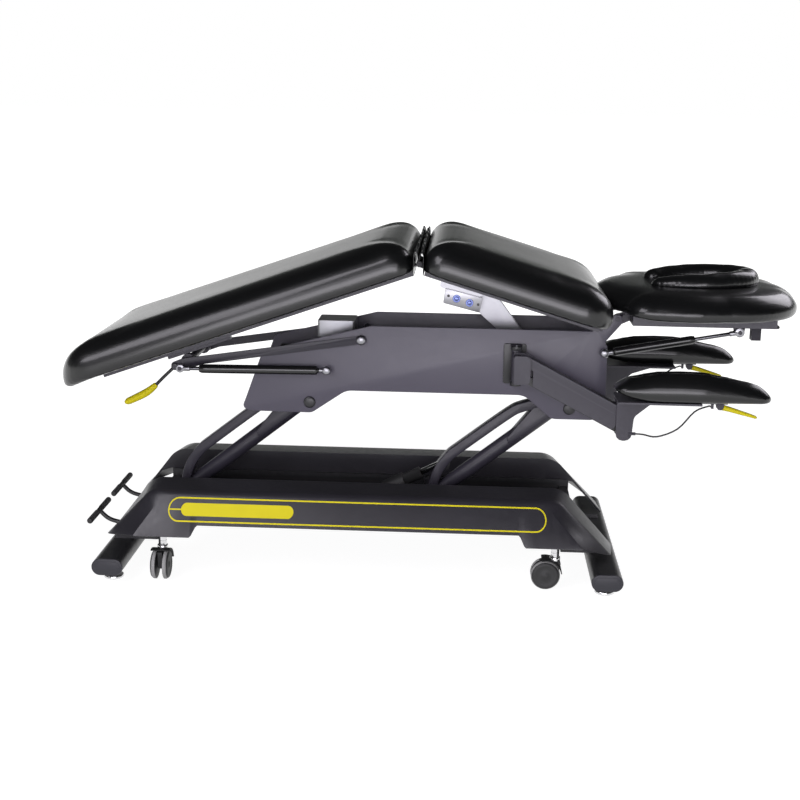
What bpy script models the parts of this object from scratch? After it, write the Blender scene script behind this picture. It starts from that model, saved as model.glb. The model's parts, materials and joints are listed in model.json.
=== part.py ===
import math

import bmesh
import bpy
from mathutils import Matrix, Vector

for old in list(bpy.data.objects):
    bpy.data.objects.remove(old, do_unlink=True)

# Electric massage table with a folding leg section, a tilting head section and two armrests.
# Metres. X runs from the leg end to the head end, Z is up, the near side is -Y.

GAP = 0.0003  # between neighbouring pieces

# Foot beams and levelling feet
FOOT_X = 0.65
FOOT_LENGTH = 0.70
BEAM_WIDTH = 0.082
BEAM_HEIGHT = 0.045
BEAM_WALL = 0.003
BEAM_BOTTOM = 0.0275
CAP_THICK = 0.005
CAP_ROUND = 0.002
LEVEL_Y = FOOT_LENGTH / 2 - 0.07
LEVEL_DISC_R = 0.0265
LEVEL_DISC_H = 0.011
LEVEL_STEM_R = 0.006
LEVEL_NUT_R = 0.010

# Base frame
BAR_Y = 0.155
BAR_WIDTH = 0.05
BAR_THICK = 0.010
BAR_OVERHANG = 0.018
POST_X = 0.565
POST_SIZE = 0.030
RAIL_Y = 0.172
RAIL_WIDTH = 0.030
RAIL_BOTTOM = 0.1385
RAIL_HEIGHT = 0.040
PAN_THICK = 0.005
COVER_POST_X = 0.40
COVER_POST_WIDTH = 0.015

# Side covers of the base
COVER_INNER_Y = 0.15
COVER_SHOULDER_Y = 0.25
COVER_TOP = 0.238
COVER_SHOULDER_DROP = 0.006
COVER_FLARE = 0.643
COVER_WALL = 0.003
COVER_SKIRT = 0.06
COVER_ROUND = 0.06
COVER_FOOT_X = 0.4395
COVER_FOOT_SLANT = 0.0195
COVER_ARCH = 0.028

# Castors on their carriage
CASTOR_X = 0.52
CASTOR_Y = 0.26
CASTOR_R = 0.0385
CASTOR_LIFT = 0.002
CASTOR_TRAIL = 0.024
WHEEL_INNER = 0.0085
WHEEL_OUTER = 0.0245
AXLE_R = 0.004
FORK_HALF = 0.006
HOOD_GAP = 0.0025
HOOD_WALL = 0.003
HOOD_SWEEP = 95.0
STEM_R = 0.011
STEM_PIN_R = 0.006
CARRIAGE_TOP = 0.136
CARRIAGE_THICK = 0.016
CARRIAGE_WIDTH = 0.035
CARRIAGE_HALF = 0.285
GUIDE_R = 0.006
TIE_WIDTH = 0.030
TIE_THICK = 0.008
GUIDE_REACH = 0.022

# Pedals
PEDAL_SHAFT_X = -0.605
PEDAL_SHAFT_Z = 0.100
PEDAL_SHAFT_R = 0.008
PEDAL_Y = 0.126
PEDAL_REACH = 0.120
PEDAL_RISE = 0.034
PEDAL_BAR = 0.20
PEDAL_BAR_R = 0.008
PEDAL_STEM_R = 0.006
PEDAL_HUB_R = 0.014
PEDAL_HUB = 0.040
COLLAR_WIDTH = 0.006

# Lift arms
LOWER_X = -0.505
LOWER_Z = 0.168
ARM_SPACING = 0.695
ARM_RUN = 0.361
ARM_RISE = 0.286
PIVOT_R = 0.022
PIN_R = 0.011
CHEEK_INNER = 0.105
CHEEK_THICK = 0.008
CHEEK_R = 0.024
PIN_HEAD_R = 0.016
PIN_HEAD = 0.005
BOW_HALF = 0.020
BOW_DEPTH = 0.026
ARM_TUBE_R = 0.021
GUSSET_HALF = 0.023

# Lift motor between the base and the head-end arm
LIFT_FOOT = (0.035, 0.171)
LIFT_LUG = (0.031, 0.098)
LIFT_PIN_R = 0.005
LIFT_PLAY = 0.0062
MOTOR_TUBE_R = 0.017
MOTOR_ROD_R = 0.009
MOTOR_HOUSING_R = 0.027
MOTOR_EAR_INNER = 0.012
MOTOR_EAR = 0.006

# Chassis, measured from the leg-end upper pivot
SIDE_INNER = 0.115
SIDE_THICK = 0.005
TRAY_FLOOR = 0.054
TRAY_THICK = 0.004
TRAY_WALL = 0.003
TRAY_SIDE = 0.060
ARM_BEARING = (0.138, 0.174)
STRUT_FOOT = (0.048, 0.093)
MID_HINGE = (0.769, 0.218)
HEAD_HINGE = (0.812, 0.244)
HEAD_STRUT_FOOT = (ARM_SPACING + 0.084, 0.158)
BACK_MOTOR_FOOT = (0.194, 0.156)
SMALL_PIN_R = 0.006
SMALL_HEAD_R = 0.010
EAR_THICK = 0.008
PIN_PROUD = 0.003
DOME = 0.006

# Middle and leg sections, measured from the fold
MID_TILT = 16.8
LEG_TILT = 19.5
MID_HINGE_S = 0.5066
MID_HINGE_T = -0.0277
MID_LENGTH = 0.505
LEG_LENGTH = 0.96
SETBACK = 0.002
CUSHION_HALF = 0.34
CUSHION_THICK = 0.086
CUSHION_CORNER = 0.05
CUSHION_CROWN = 0.004
FRAME_HALF = 0.25
FRAME_RIM = 0.020
FRAME_SHEET = 0.003
FRAME_START = 0.02
MID_FRAME_END = 0.485
LEG_FRAME_END = 0.87
KNUCKLE_R = 0.008
KNUCKLE_PIN_R = 0.004
KNUCKLE_Y = 0.165
KNUCKLE_WIDTH = 0.040

# Zinc bracket under the middle section
BACK_LUG = (0.599, 0.131)  # from the leg-end upper pivot
BRACKET_S0 = 0.07
BRACKET_S1 = 0.20
BRACKET_HALF = 0.050
BRACKET_PLATE = 0.006
BACK_PIN_R = 0.006
BACK_PLAY = 0.0026

# Support arm under the leg section
RUNNER_S0 = 0.55
RUNNER_S1 = 0.73
RUNNER_DEPTH = 0.0442
RUNNER_Y = 0.105
RUNNER_WIDTH = 0.020
SHOE_S = 0.6806
SHOE_R = 0.020
SUPPORT_INNER = 0.1225
SUPPORT_THICK = 0.006
SUPPORT_DEPTH = 0.022
CROSS_TUBE_R = 0.011
STRUT_Y = 0.145
STRUT_EYE = 0.012
STRUT_TIP = (0.0179, 0.0114)
STRUT_R = 0.012
STRUT_ROD_R = 0.005
STRUT_BODY = 0.345
STRUT_PLAY = 0.0007
LEVER_ROOT = (0.0344, 0.0069)
LEVER_R = 0.005
GRIP_R = 0.0105
LEVER_ROD_R = 0.0044

# Head section, measured from its hinge
HEAD_START = 0.002
HEAD_END = 0.473
HEAD_HALF = 0.275
HEAD_SEAT = 0.024
HEAD_THICK = 0.081
HEAD_FRAME_START = 0.030
HEAD_FRAME_END = 0.396
HEAD_FRAME_HALF = 0.20
HEAD_FRAME_RIM = 0.026
HEAD_STRUT_TIP = (0.313, -0.022)
HEAD_STRUT_BODY = 0.24
HEAD_STRUT_R = 0.011
HEAD_STRUT_PIN_R = 0.0055
HEAD_STRUT_PLAY = 0.0024
FACE_HOLE_X = 0.235
FACE_HOLE_LENGTH = 0.16
FACE_HOLE_WIDTH = 0.11
FACE_HEIGHT = 0.046
FACE_X = 0.222
FACE_RADIUS_X = 0.120
FACE_RADIUS_Y = 0.100
FACE_BAND = 0.072
HANDLE_R = 0.004
HANDLE_HALF = 0.10
HANDLE_REACH = 0.036
HANDLE_DROP = 0.006
HANDLE_PIVOT = (0.388, -0.010)
HANDLE_PIN_R = 0.003

# Armrests, measured from the leg-end upper pivot
MOUNT_X0 = 0.516
MOUNT_X1 = 0.576
MOUNT_Z0 = 0.066
MOUNT_Z1 = 0.174
MOUNT_PLATE = 0.006
MOUNT_EAR = 0.010
SWING_X = 0.549
SWING_Y = 0.150
SWING_PIN_R = 0.006
SWING_HUB_R = 0.013
LINK_Y = 0.20
LINK_X = 0.571
LINK_Z = 0.147
LINK_DROP = 0.049
LINK_LENGTH = 0.2925
LINK_SLOPE = 27.5
LINK_PIN_R = 0.005
CHANNEL_OUTER = 0.020
CHANNEL_WALL = 0.003
CHANNEL_TOP = 0.012
CHANNEL_DEPTH = 0.050
LINK_EAR_INNER = 0.0215
LINK_EAR = 0.005
LINK_EAR_R = 0.013
LOWER_LINK_HALF = 0.008
SHELF_RISE = 0.0445
SHELF_THICK = 0.005
SHELF_REACH = 0.185
PAD_Y = 0.255
PAD_START = -0.036
PAD_LENGTH = 0.40
PAD_HALF = 0.05
PAD_THICK = 0.074
PAD_LEVER_X = 0.2355
PAD_LEVER_DROP = 0.0085
PAD_LEVER_PIN_R = 0.003
CABLE_R = 0.0022

root = bpy.data.objects.new("root", None)
bpy.context.scene.collection.objects.link(root)


# Materials

def finish(name, colour, roughness, metallic=0.0):
    made = bpy.data.materials.new(name)
    made.use_nodes = True
    shader = made.node_tree.nodes["Principled BSDF"]
    shader.inputs["Base Color"].default_value = (*colour, 1.0)
    shader.inputs["Roughness"].default_value = roughness
    shader.inputs["Metallic"].default_value = metallic
    made.diffuse_color = (*colour, 1.0)
    return made


CHARCOAL = (0.030, 0.028, 0.034)
BLACK = (0.012, 0.012, 0.013)
YELLOW = (0.80, 0.72, 0.02)


# Outlines, as lists of 2D points

def rounded(corners, steps=3):
    # Each corner is x, z and an optional fillet radius.
    points = []
    for i, corner in enumerate(corners):
        here = Vector(corner[:2])
        radius = corner[2] if len(corner) > 2 else 0.0
        before = Vector(corners[i - 1][:2]) - here
        after = Vector(corners[(i + 1) % len(corners)][:2]) - here
        if radius <= 0.0:
            points.append(tuple(here))
            continue
        half = before.angle(after) / 2
        reach = min(radius / math.tan(half), 0.48 * before.length, 0.48 * after.length)
        radius = reach * math.tan(half)
        middle = here + (before.normalized() + after.normalized()).normalized() * radius / math.sin(half)
        first = here + before.normalized() * reach - middle
        last = here + after.normalized() * reach - middle
        sweep = first.angle_signed(last)
        for k in range(steps + 1):
            turn = -sweep * k / steps
            turned_arm = Matrix.Rotation(turn, 2) @ first
            points.append(tuple(middle + turned_arm))
    return points


def stadium(centre, width, height, steps=5):
    radius = height / 2
    flat = width / 2 - radius
    points = []
    for side, turn in ((1, -math.pi / 2), (-1, math.pi / 2)):
        for k in range(steps + 1):
            angle = turn + math.pi * k / steps
            x = centre[0] + side * flat + radius * math.cos(angle)
            points.append((x, centre[1] + radius * math.sin(angle)))
    return points


def oval(half_x, half_y, corner, steps=9):
    # Rounded rectangle about zero with 4 * (steps + 1) points.
    corner = max(min(corner, half_x, half_y), 0.0005)
    points = []
    for k, (sx, sy) in enumerate(((1, 1), (-1, 1), (-1, -1), (1, -1))):
        for i in range(steps + 1):
            angle = math.pi / 2 * (k + i / steps)
            x = sx * (half_x - corner) + corner * math.cos(angle)
            points.append((x, sy * (half_y - corner) + corner * math.sin(angle)))
    return points


def bar_outline(points, depth):
    # A band of even depth along a bent line in the XZ plane.
    line = [Vector(p) for p in points]
    upper = []
    lower = []
    for i, here in enumerate(line):
        ahead = (line[min(i + 1, len(line) - 1)] - here)
        behind = (here - line[max(i - 1, 0)])
        one = behind.normalized() if behind.length else ahead.normalized()
        two = ahead.normalized() if ahead.length else behind.normalized()
        along = (one + two).normalized()
        across = Vector((-along.y, along.x)) * (depth / 2) / max(along.dot(two), 0.3)
        upper.append(tuple(here + across))
        lower.append(tuple(here - across))
    return lower + upper[::-1]


def along_curve(points, count):
    # Points read evenly from a smooth curve through the given ones.
    line = [Vector(p) for p in points]
    line = [2 * line[0] - line[1]] + line + [2 * line[-1] - line[-2]]
    spans = len(line) - 3
    result = []
    for i in range(count):
        place = spans * i / (count - 1)
        k = min(int(place), spans - 1)
        t = place - k
        a, b, c, d = line[k:k + 4]
        here = 2 * b + (c - a) * t + (2 * a - 5 * b + 4 * c - d) * t * t + (3 * b - a - 3 * c + d) * t ** 3
        result.append(here / 2)
    return result


# Solids, as closed bmeshes in the table's frame

def loft(rings, ring_shaped=False):
    solid = bmesh.new()
    rows = [[solid.verts.new(point) for point in ring] for ring in rings]
    pairs = list(zip(rows, rows[1:]))
    if ring_shaped:
        pairs.append((rows[-1], rows[0]))
    count = len(rows[0])
    for low, high in pairs:
        for i in range(count):
            k = (i + 1) % count
            solid.faces.new((low[i], low[k], high[k], high[i]))
    if not ring_shaped:
        solid.faces.new(rows[0][::-1])
        solid.faces.new(rows[-1])
    bmesh.ops.recalc_face_normals(solid, faces=solid.faces)
    return solid


def lay(outline, place, axis):
    if axis == "y":
        return [(x, place, z) for x, z in outline]
    if axis == "z":
        return [(x, y, place) for x, y in outline]
    return [(place, y, z) for y, z in outline]


def slab(outline, low, high, axis="y"):
    return loft([lay(outline, low, axis), lay(outline, high, axis)])


def block(x0, x1, y0, y1, z0, z1):
    return slab([(x0, y0), (x1, y0), (x1, y1), (x0, y1)], z0, z1, "z")


def frame_along(direction):
    forward = Vector(direction).normalized()
    side = forward.orthogonal().normalized()
    return side, forward.cross(side)


def ring_at(centre, side, lift, radius, count):
    ring = []
    for i in range(count):
        turn = 2 * math.pi * i / count
        ring.append(Vector(centre) + radius * (math.cos(turn) * side + math.sin(turn) * lift))
    return ring


def turned(profile, start, direction, count=10, ring_shaped=False):
    # Profile points are radius and distance along the direction.
    side, lift = frame_along(direction)
    forward = Vector(direction).normalized()
    rings = [ring_at(Vector(start) + forward * far, side, lift, radius, count) for radius, far in profile]
    return loft(rings, ring_shaped)


def rod(start, end, radius, count=10):
    length = (Vector(end) - Vector(start)).length
    return turned([(radius, 0.0), (radius, length)], start, Vector(end) - Vector(start), count)


def cross_rod(x, z, y0, y1, radius, count=10):
    return rod((x, y0, z), (x, y1, z), radius, count)


def bore_hole(start, end, radius, count=10, play=GAP):
    # A cutter whose flats clear a round pin of this radius.
    return rod(start, end, (radius + play) / math.cos(math.pi / count), count)


def cross_bore(x, z, y0, y1, radius, count=10, play=GAP):
    return bore_hole((x, y0, z), (x, y1, z), radius, count, play)


def pipe(points, radii, count=8):
    line = [Vector(p) for p in points]
    if not isinstance(radii, (list, tuple)):
        radii = [radii] * len(line)
    side, lift = frame_along(line[1] - line[0])
    rings = []
    for i, here in enumerate(line):
        along = (line[min(i + 1, len(line) - 1)] - line[max(i - 1, 0)]).normalized()
        side = (side - along * side.dot(along)).normalized()
        lift = along.cross(side)
        rings.append(ring_at(here, side, lift, radii[i], count))
    return loft(rings)


def moved(solid, matrix):
    bmesh.ops.transform(solid, matrix=matrix, verts=solid.verts)
    bmesh.ops.recalc_face_normals(solid, faces=solid.faces)
    return solid


def mirrored(solid):
    return moved(solid, Matrix.Diagonal((1.0, -1.0, 1.0, 1.0)))


def scratch(solid):
    mesh = bpy.data.meshes.new("scratch")
    solid.to_mesh(mesh)
    solid.free()
    made = bpy.data.objects.new("scratch", mesh)
    bpy.context.scene.collection.objects.link(made)
    return made


def welded(solids, cuts=()):
    # One body: all solids joined, then the cuts taken away.
    body = scratch(solids[0])
    tools = []
    steps = [("UNION", solid) for solid in solids[1:]] + [("DIFFERENCE", cut) for cut in cuts]
    for operation, solid in steps:
        tool = scratch(solid)
        tools.append(tool)
        step = body.modifiers.new("step", "BOOLEAN")
        step.operation = operation
        step.solver = "EXACT"
        step.object = tool
    bpy.context.view_layer.update()
    shape = bmesh.new()
    shape.from_object(body, bpy.context.evaluated_depsgraph_get())
    bmesh.ops.remove_doubles(shape, verts=shape.verts, dist=0.00002)
    bmesh.ops.dissolve_degenerate(shape, edges=shape.edges, dist=0.00001)
    bmesh.ops.dissolve_limit(shape, angle_limit=0.002, verts=shape.verts, edges=shape.edges)
    for used in tools + [body]:
        bpy.data.objects.remove(used, do_unlink=True)
    return shape


def node(name, material, solids, pivot=(0.0, 0.0, 0.0), smooth=35.0):
    # One named piece, or a group of equal pieces, with its origin at the pivot.
    shape = bmesh.new()
    for solid in solids:
        part = bpy.data.meshes.new("part")
        solid.to_mesh(part)
        solid.free()
        shape.from_mesh(part)
        bpy.data.meshes.remove(part)
    bmesh.ops.translate(shape, verts=shape.verts, vec=-Vector(pivot))
    mesh = bpy.data.meshes.new(name)
    shape.to_mesh(mesh)
    shape.free()
    mesh.shade_smooth()
    mesh.set_sharp_from_angle(angle=math.radians(smooth))
    mesh.materials.append(material)
    made = bpy.data.objects.new(name, mesh)
    bpy.context.scene.collection.objects.link(made)
    made.parent = root
    made.location = pivot
    return made


# Base: two foot beams, levelling feet, frame and covers

beam_z = BEAM_BOTTOM + BEAM_HEIGHT / 2
beam_top = BEAM_BOTTOM + BEAM_HEIGHT
tube_half = FOOT_LENGTH / 2 - CAP_THICK

for end, name in ((-1, "foot_beam_leg_end"), (1, "foot_beam_head_end")):
    middle = (end * FOOT_X, beam_z)
    face = stadium(middle, BEAM_WIDTH, BEAM_HEIGHT)
    edge = stadium(middle, BEAM_WIDTH - 2 * CAP_ROUND, BEAM_HEIGHT - 2 * CAP_ROUND)
    inside = stadium(middle, BEAM_WIDTH - 2 * BEAM_WALL, BEAM_HEIGHT - 2 * BEAM_WALL)
    half = FOOT_LENGTH / 2
    rings = [lay(edge, -half, "y"), lay(face, CAP_ROUND - half, "y")]
    rings += [lay(face, half - CAP_ROUND, "y"), lay(edge, half, "y")]
    cuts = [slab(inside, -tube_half, tube_half)]
    for side in (-1, 1):
        low = (end * FOOT_X, side * LEVEL_Y, BEAM_BOTTOM - 0.01)
        high = (end * FOOT_X, side * LEVEL_Y, BEAM_BOTTOM + BEAM_WALL + 0.01)
        cuts.append(bore_hole(low, high, LEVEL_STEM_R, 8))
    node(name, finish(name, BLACK, 0.35), [welded([loft(rings)], cuts)], (end * FOOT_X, 0.0, beam_z))

nut_top = BEAM_BOTTOM - GAP
for end, end_name in ((-1, "leg"), (1, "head")):
    for side, side_name in ((-1, "near"), (1, "far")):
        name = "levelling_foot_" + end_name + "_" + side_name
        profile = [(LEVEL_DISC_R, 0.0), (LEVEL_DISC_R, LEVEL_DISC_H - 0.003)]
        profile += [(LEVEL_NUT_R, LEVEL_DISC_H), (LEVEL_NUT_R, nut_top)]
        profile += [(LEVEL_STEM_R, nut_top), (LEVEL_STEM_R, BEAM_BOTTOM + 0.02)]
        spot = (end * FOOT_X, side * LEVEL_Y, 0.0)
        node(name, finish(name, (0.6, 0.6, 0.6), 0.2, 1.0), [turned(profile, spot, (0, 0, 1), 10)], spot)

bar_low = beam_top + GAP
bar_high = bar_low + BAR_THICK
rail_top = RAIL_BOTTOM + RAIL_HEIGHT
pan_low = RAIL_BOTTOM - 0.001
pan_high = pan_low + PAN_THICK
rail_half = POST_X + POST_SIZE / 2
cheek_low = pan_high - 0.002

solids = []
cuts = []
for side in (-1, 1):
    y0 = side * RAIL_Y - RAIL_WIDTH / 2
    y1 = side * RAIL_Y + RAIL_WIDTH / 2
    solids.append(block(-rail_half, rail_half, y0, y1, RAIL_BOTTOM, rail_top))
pan_half = RAIL_Y - RAIL_WIDTH / 2 + 0.004
solids.append(block(-rail_half + 0.01, rail_half - 0.01, -pan_half, pan_half, pan_low, pan_high))
for end in (-1, 1):
    for side in (-1, 1):
        x0, x1 = sorted((end * (POST_X - POST_SIZE / 2 - 0.01), end * (FOOT_X + BAR_OVERHANG)))
        y0 = side * BAR_Y - BAR_WIDTH / 2
        solids.append(block(x0, x1, y0, y0 + BAR_WIDTH, bar_low, bar_high))
        x0 = end * POST_X - POST_SIZE / 2 + 0.001
        y0 = side * RAIL_Y - RAIL_WIDTH / 2 + 0.001
        post_wide = RAIL_WIDTH - 0.004
        post_top = RAIL_BOTTOM + 0.01
        solids.append(block(x0, x0 + POST_SIZE - 0.002, y0, y0 + post_wide, bar_high - 0.004, post_top))
        guide = (end * CASTOR_X, side * RAIL_Y)
        guide_low = CARRIAGE_TOP - CARRIAGE_THICK - GUIDE_REACH
        solids.append(rod((*guide, guide_low), (*guide, RAIL_BOTTOM + 0.01), GUIDE_R, 8))
    x0 = end * POST_X - POST_SIZE / 2 + 0.003
    half = RAIL_Y - 0.004
    cross_top = RAIL_BOTTOM + RAIL_HEIGHT / 2
    solids.append(block(x0, x0 + POST_SIZE - 0.006, -half, half, RAIL_BOTTOM + 0.003, cross_top))
for x in (-COVER_POST_X, 0.0, COVER_POST_X):
    for side in (-1, 1):
        outline = []
        for y in (RAIL_Y - COVER_POST_WIDTH / 2, RAIL_Y + COVER_POST_WIDTH / 2):
            fall = COVER_SHOULDER_DROP * (y - COVER_INNER_Y) / (COVER_SHOULDER_Y - COVER_INNER_Y)
            outline.append((side * y, COVER_TOP - fall - GAP))
        foot = [(y, rail_top - 0.01) for y, z in outline[::-1]]
        solids.append(slab(outline + foot, x - 0.012, x + 0.012, "x"))
for x in (LOWER_X, LOWER_X + ARM_SPACING):
    for side in (-1, 1):
        y0, y1 = sorted((side * CHEEK_INNER, side * (CHEEK_INNER + CHEEK_THICK)))
        top = LOWER_Z + CHEEK_R
        outline = rounded([(x - CHEEK_R - 0.012, cheek_low), (x + CHEEK_R + 0.012, cheek_low),
                           (x + CHEEK_R, top, CHEEK_R), (x - CHEEK_R, top, CHEEK_R)], 4)
        solids.append(slab(outline, y0, y1))
    cuts.append(cross_bore(x, LOWER_Z, -0.13, 0.13, PIN_R, 12))
for side in (-1, 1):
    y0, y1 = sorted((side * MOTOR_EAR_INNER, side * (MOTOR_EAR_INNER + MOTOR_EAR)))
    x, z = LIFT_FOOT
    outline = rounded([(x - 0.02, cheek_low), (x + 0.02, cheek_low),
                       (x + 0.012, z + 0.012, 0.012), (x - 0.012, z + 0.012, 0.012)], 3)
    solids.append(slab(outline, y0, y1))
cuts.append(cross_bore(*LIFT_FOOT, -0.03, 0.03, LIFT_PIN_R, 8))

shaft_half = PEDAL_Y + PEDAL_HUB / 2 + 0.05
profile = [(PEDAL_SHAFT_R, 0.0)]
for middle in (-PEDAL_Y, PEDAL_Y):
    for side in (-1, 1):
        near = middle + side * (PEDAL_HUB / 2 + GAP)
        far = near + side * COLLAR_WIDTH
        low, high = sorted((near, far))
        collar = PEDAL_HUB_R - 0.002
        if abs(far) > abs(middle):
            profile += [(PEDAL_SHAFT_R, low + shaft_half), (collar, low + shaft_half)]
            profile += [(collar, high + shaft_half), (PEDAL_SHAFT_R, high + shaft_half)]
profile.append((PEDAL_SHAFT_R, 2 * shaft_half))
solids.append(turned(profile, (PEDAL_SHAFT_X, -shaft_half, PEDAL_SHAFT_Z), (0, 1, 0), 8))
for side in (-1, 1):
    y0, y1 = sorted((side * (shaft_half - 0.032), side * (shaft_half - 0.022)))
    top = PEDAL_SHAFT_Z + 0.014
    outline = [(PEDAL_SHAFT_X - 0.014, bar_high - 0.003), (-POST_X + 0.002, bar_high - 0.003),
               (-POST_X + 0.002, top), (PEDAL_SHAFT_X - 0.014, top)]
    solids.append(slab(outline, y0, y1))
node("base_frame", finish("base_frame", BLACK, 0.45), [welded(solids, cuts)])


# Side covers: a skirt, a top, a shoulder and a flared side face with an arched lower edge.
# The rings lie on the inner face, and the wall grows outward from them.

def cover_ring(left_bottom, left_top, right_top, right_bottom, spread):
    corners = [left_bottom, (*left_top, COVER_ROUND), (*right_top, COVER_ROUND), right_bottom]
    line = rounded(corners, 5)
    slope = [0.5]
    points = [line[0]]
    for share in slope:
        points.append(tuple(Vector(line[0]).lerp(Vector(line[1]), share)))
    points += line[1:7]
    height = line[6][1]
    foot = COVER_FOOT_X
    for x in (-foot, -foot + COVER_FOOT_SLANT, 0.0, foot - COVER_FOOT_SLANT, foot):
        share = (x - line[6][0]) / (line[7][0] - line[6][0])
        points.append((x, height + share * (line[7][1] - height)))
    points += line[7:13]
    for share in slope:
        points.append(tuple(Vector(line[12]).lerp(Vector(line[13]), share)))
    points.append(line[13])
    return [(x, spread(z), z) for x, z in points]


shoulder_z = COVER_TOP - COVER_SHOULDER_DROP


def flare(z):
    return COVER_SHOULDER_Y + (shoulder_z - z) * COVER_FLARE


def arch(x):
    rise = (COVER_FOOT_X - abs(x)) / COVER_FOOT_SLANT
    return shoulder_z - 0.105 + COVER_ARCH * min(max(rise, 0.0), 1.0)


top_ring = cover_ring((-0.682, COVER_TOP - 0.152), (-0.564, COVER_TOP), (0.537, COVER_TOP),
                      (0.674, COVER_TOP - 0.1515), lambda z: COVER_INNER_Y)
end_fall = top_ring[0][2]
skirt_ring = []
for x, y, z in top_ring:
    above_rail = max(z - rail_top - 0.004, 0.004)
    skirt_ring.append((x, y, z - min(COVER_SKIRT, 0.004 + 0.5 * abs(z - end_fall), above_rail)))
shoulder_ring = cover_ring((-0.672, shoulder_z - 0.125), (-0.549, shoulder_z), (0.521, shoulder_z),
                           (0.664, shoulder_z - 0.1435), lambda z: COVER_SHOULDER_Y)
side_ring = cover_ring((-0.586, shoulder_z - 0.104), (-0.518, shoulder_z - 0.010),
                       (0.490, shoulder_z - 0.010), (0.584, shoulder_z - 0.104), flare)
lower_ring = []
for x, y, z in side_ring:
    low = min(arch(x), z - 0.001)
    lower_ring.append((x, flare(low), low))

for side, name in ((-1, "base_cover_near"), (1, "base_cover_far")):
    shell = bmesh.new()
    rows = []
    for ring in (skirt_ring, top_ring, shoulder_ring, side_ring, lower_ring):
        rows.append([shell.verts.new((x, side * y, z)) for x, y, z in ring])
    for low, high in zip(rows, rows[1:]):
        for i in range(len(low) - 1):
            corners = (low[i], low[i + 1], high[i + 1], high[i])
            shell.faces.new(corners if side < 0 else corners[::-1])
    shell.normal_update()
    cover = node(name, finish(name, CHARCOAL, 0.35), [shell], (0.0, side * COVER_SHOULDER_Y, COVER_TOP), 30.0)
    wall = cover.modifiers.new("wall", "SOLIDIFY")
    wall.thickness = COVER_WALL
    wall.offset = -1.0
    wall.use_even_offset = True


# Castors on a carriage that the near pedal lowers

bar_z = CARRIAGE_TOP - CARRIAGE_THICK
tie_top = CARRIAGE_TOP - 0.001
bars = [block(-CASTOR_X, CASTOR_X, -TIE_WIDTH / 2, TIE_WIDTH / 2, tie_top - TIE_THICK, tie_top)]
holes = []
for end in (-1, 1):
    x0 = end * CASTOR_X - CARRIAGE_WIDTH / 2
    bars.append(block(x0, x0 + CARRIAGE_WIDTH, -CARRIAGE_HALF, CARRIAGE_HALF, bar_z, CARRIAGE_TOP))
    for side in (-1, 1):
        for y, radius in ((RAIL_Y, GUIDE_R), (CASTOR_Y, STEM_PIN_R)):
            low = (end * CASTOR_X, side * y, bar_z - 0.01)
            high = (end * CASTOR_X, side * y, CARRIAGE_TOP + 0.01)
            holes.append(bore_hole(low, high, radius, 8))
steel = finish("castor_carriage", BLACK, 0.4)
node("castor_carriage", steel, [welded(bars, holes)], (0.0, 0.0, CARRIAGE_TOP))

axle_z = CASTOR_R + CASTOR_LIFT
hood_r = CASTOR_R + HOOD_GAP
for end, end_name in ((-1, "leg"), (1, "head")):
    for side, side_name in ((-1, "near"), (1, "far")):
        label = end_name + "_" + side_name
        stem = (end * CASTOR_X, side * CASTOR_Y)
        trail = Vector((0, -1, 0)) if end < 0 else Vector((-1, 0, 0))
        axle = trail.cross(Vector((0, 0, 1)))
        turn = Matrix(((-trail.x, axle.x, 0, stem[0]), (-trail.y, axle.y, 0, stem[1]),
                       (0, 0, 1, 0), (0, 0, 0, 1)))
        steel = finish("castor_fork_" + label, BLACK, 0.35)
        hood = []
        for k in range(4):
            angle = math.radians(10 + HOOD_SWEEP * k / 3)
            hood.append((hood_r * math.cos(angle) - CASTOR_TRAIL, axle_z + hood_r * math.sin(angle)))
        for k in range(4):
            angle = math.radians(10 + HOOD_SWEEP * (3 - k) / 3)
            reach = hood_r + HOOD_WALL
            hood.append((reach * math.cos(angle) - CASTOR_TRAIL, axle_z + reach * math.sin(angle)))
        cheek = rounded([(-CASTOR_TRAIL - 0.012, axle_z - 0.012, 0.011),
                         (-CASTOR_TRAIL + 0.012, axle_z - 0.012, 0.011), (0.016, axle_z + 0.028, 0.004),
                         (0.012, axle_z + hood_r + 0.002), (-0.040, axle_z + hood_r - 0.004)], 2)
        bar_low_z = CARRIAGE_TOP - CARRIAGE_THICK - GAP
        stem_profile = [(0.014, 0.0), (0.014, 0.010), (STEM_R, 0.012), (STEM_R, bar_low_z - 0.078)]
        stem_profile += [(STEM_PIN_R, bar_low_z - 0.078), (STEM_PIN_R, CARRIAGE_TOP - 0.078)]
        parts = [slab(cheek, -FORK_HALF, FORK_HALF), slab(hood, -WHEEL_OUTER - 0.001, WHEEL_OUTER + 0.001)]
        parts.append(turned(stem_profile, (0, 0, 0.078), (0, 0, 1), 8))
        bore = cross_bore(-CASTOR_TRAIL, axle_z, -0.03, 0.03, AXLE_R, 8)
        fork = moved(welded(parts, [bore]), turn)
        node("castor_fork_" + label, steel, [fork], (*stem, axle_z))
        profile = [(CASTOR_R - 0.006, 0.0), (CASTOR_R, 0.005), (CASTOR_R, WHEEL_OUTER - WHEEL_INNER)]
        inner = [(radius, 2 * WHEEL_OUTER - far) for radius, far in profile[::-1]]
        profile += [(AXLE_R, WHEEL_OUTER - WHEEL_INNER), (AXLE_R, WHEEL_OUTER + WHEEL_INNER)] + inner
        wheels = moved(turned(profile, (-CASTOR_TRAIL, -WHEEL_OUTER, axle_z), (0, 1, 0), 12), turn)
        hub = turn @ Vector((-CASTOR_TRAIL, 0, axle_z))
        node("castor_wheels_" + label, finish("castor_wheels_" + label, BLACK, 0.5), [wheels], hub)

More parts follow.
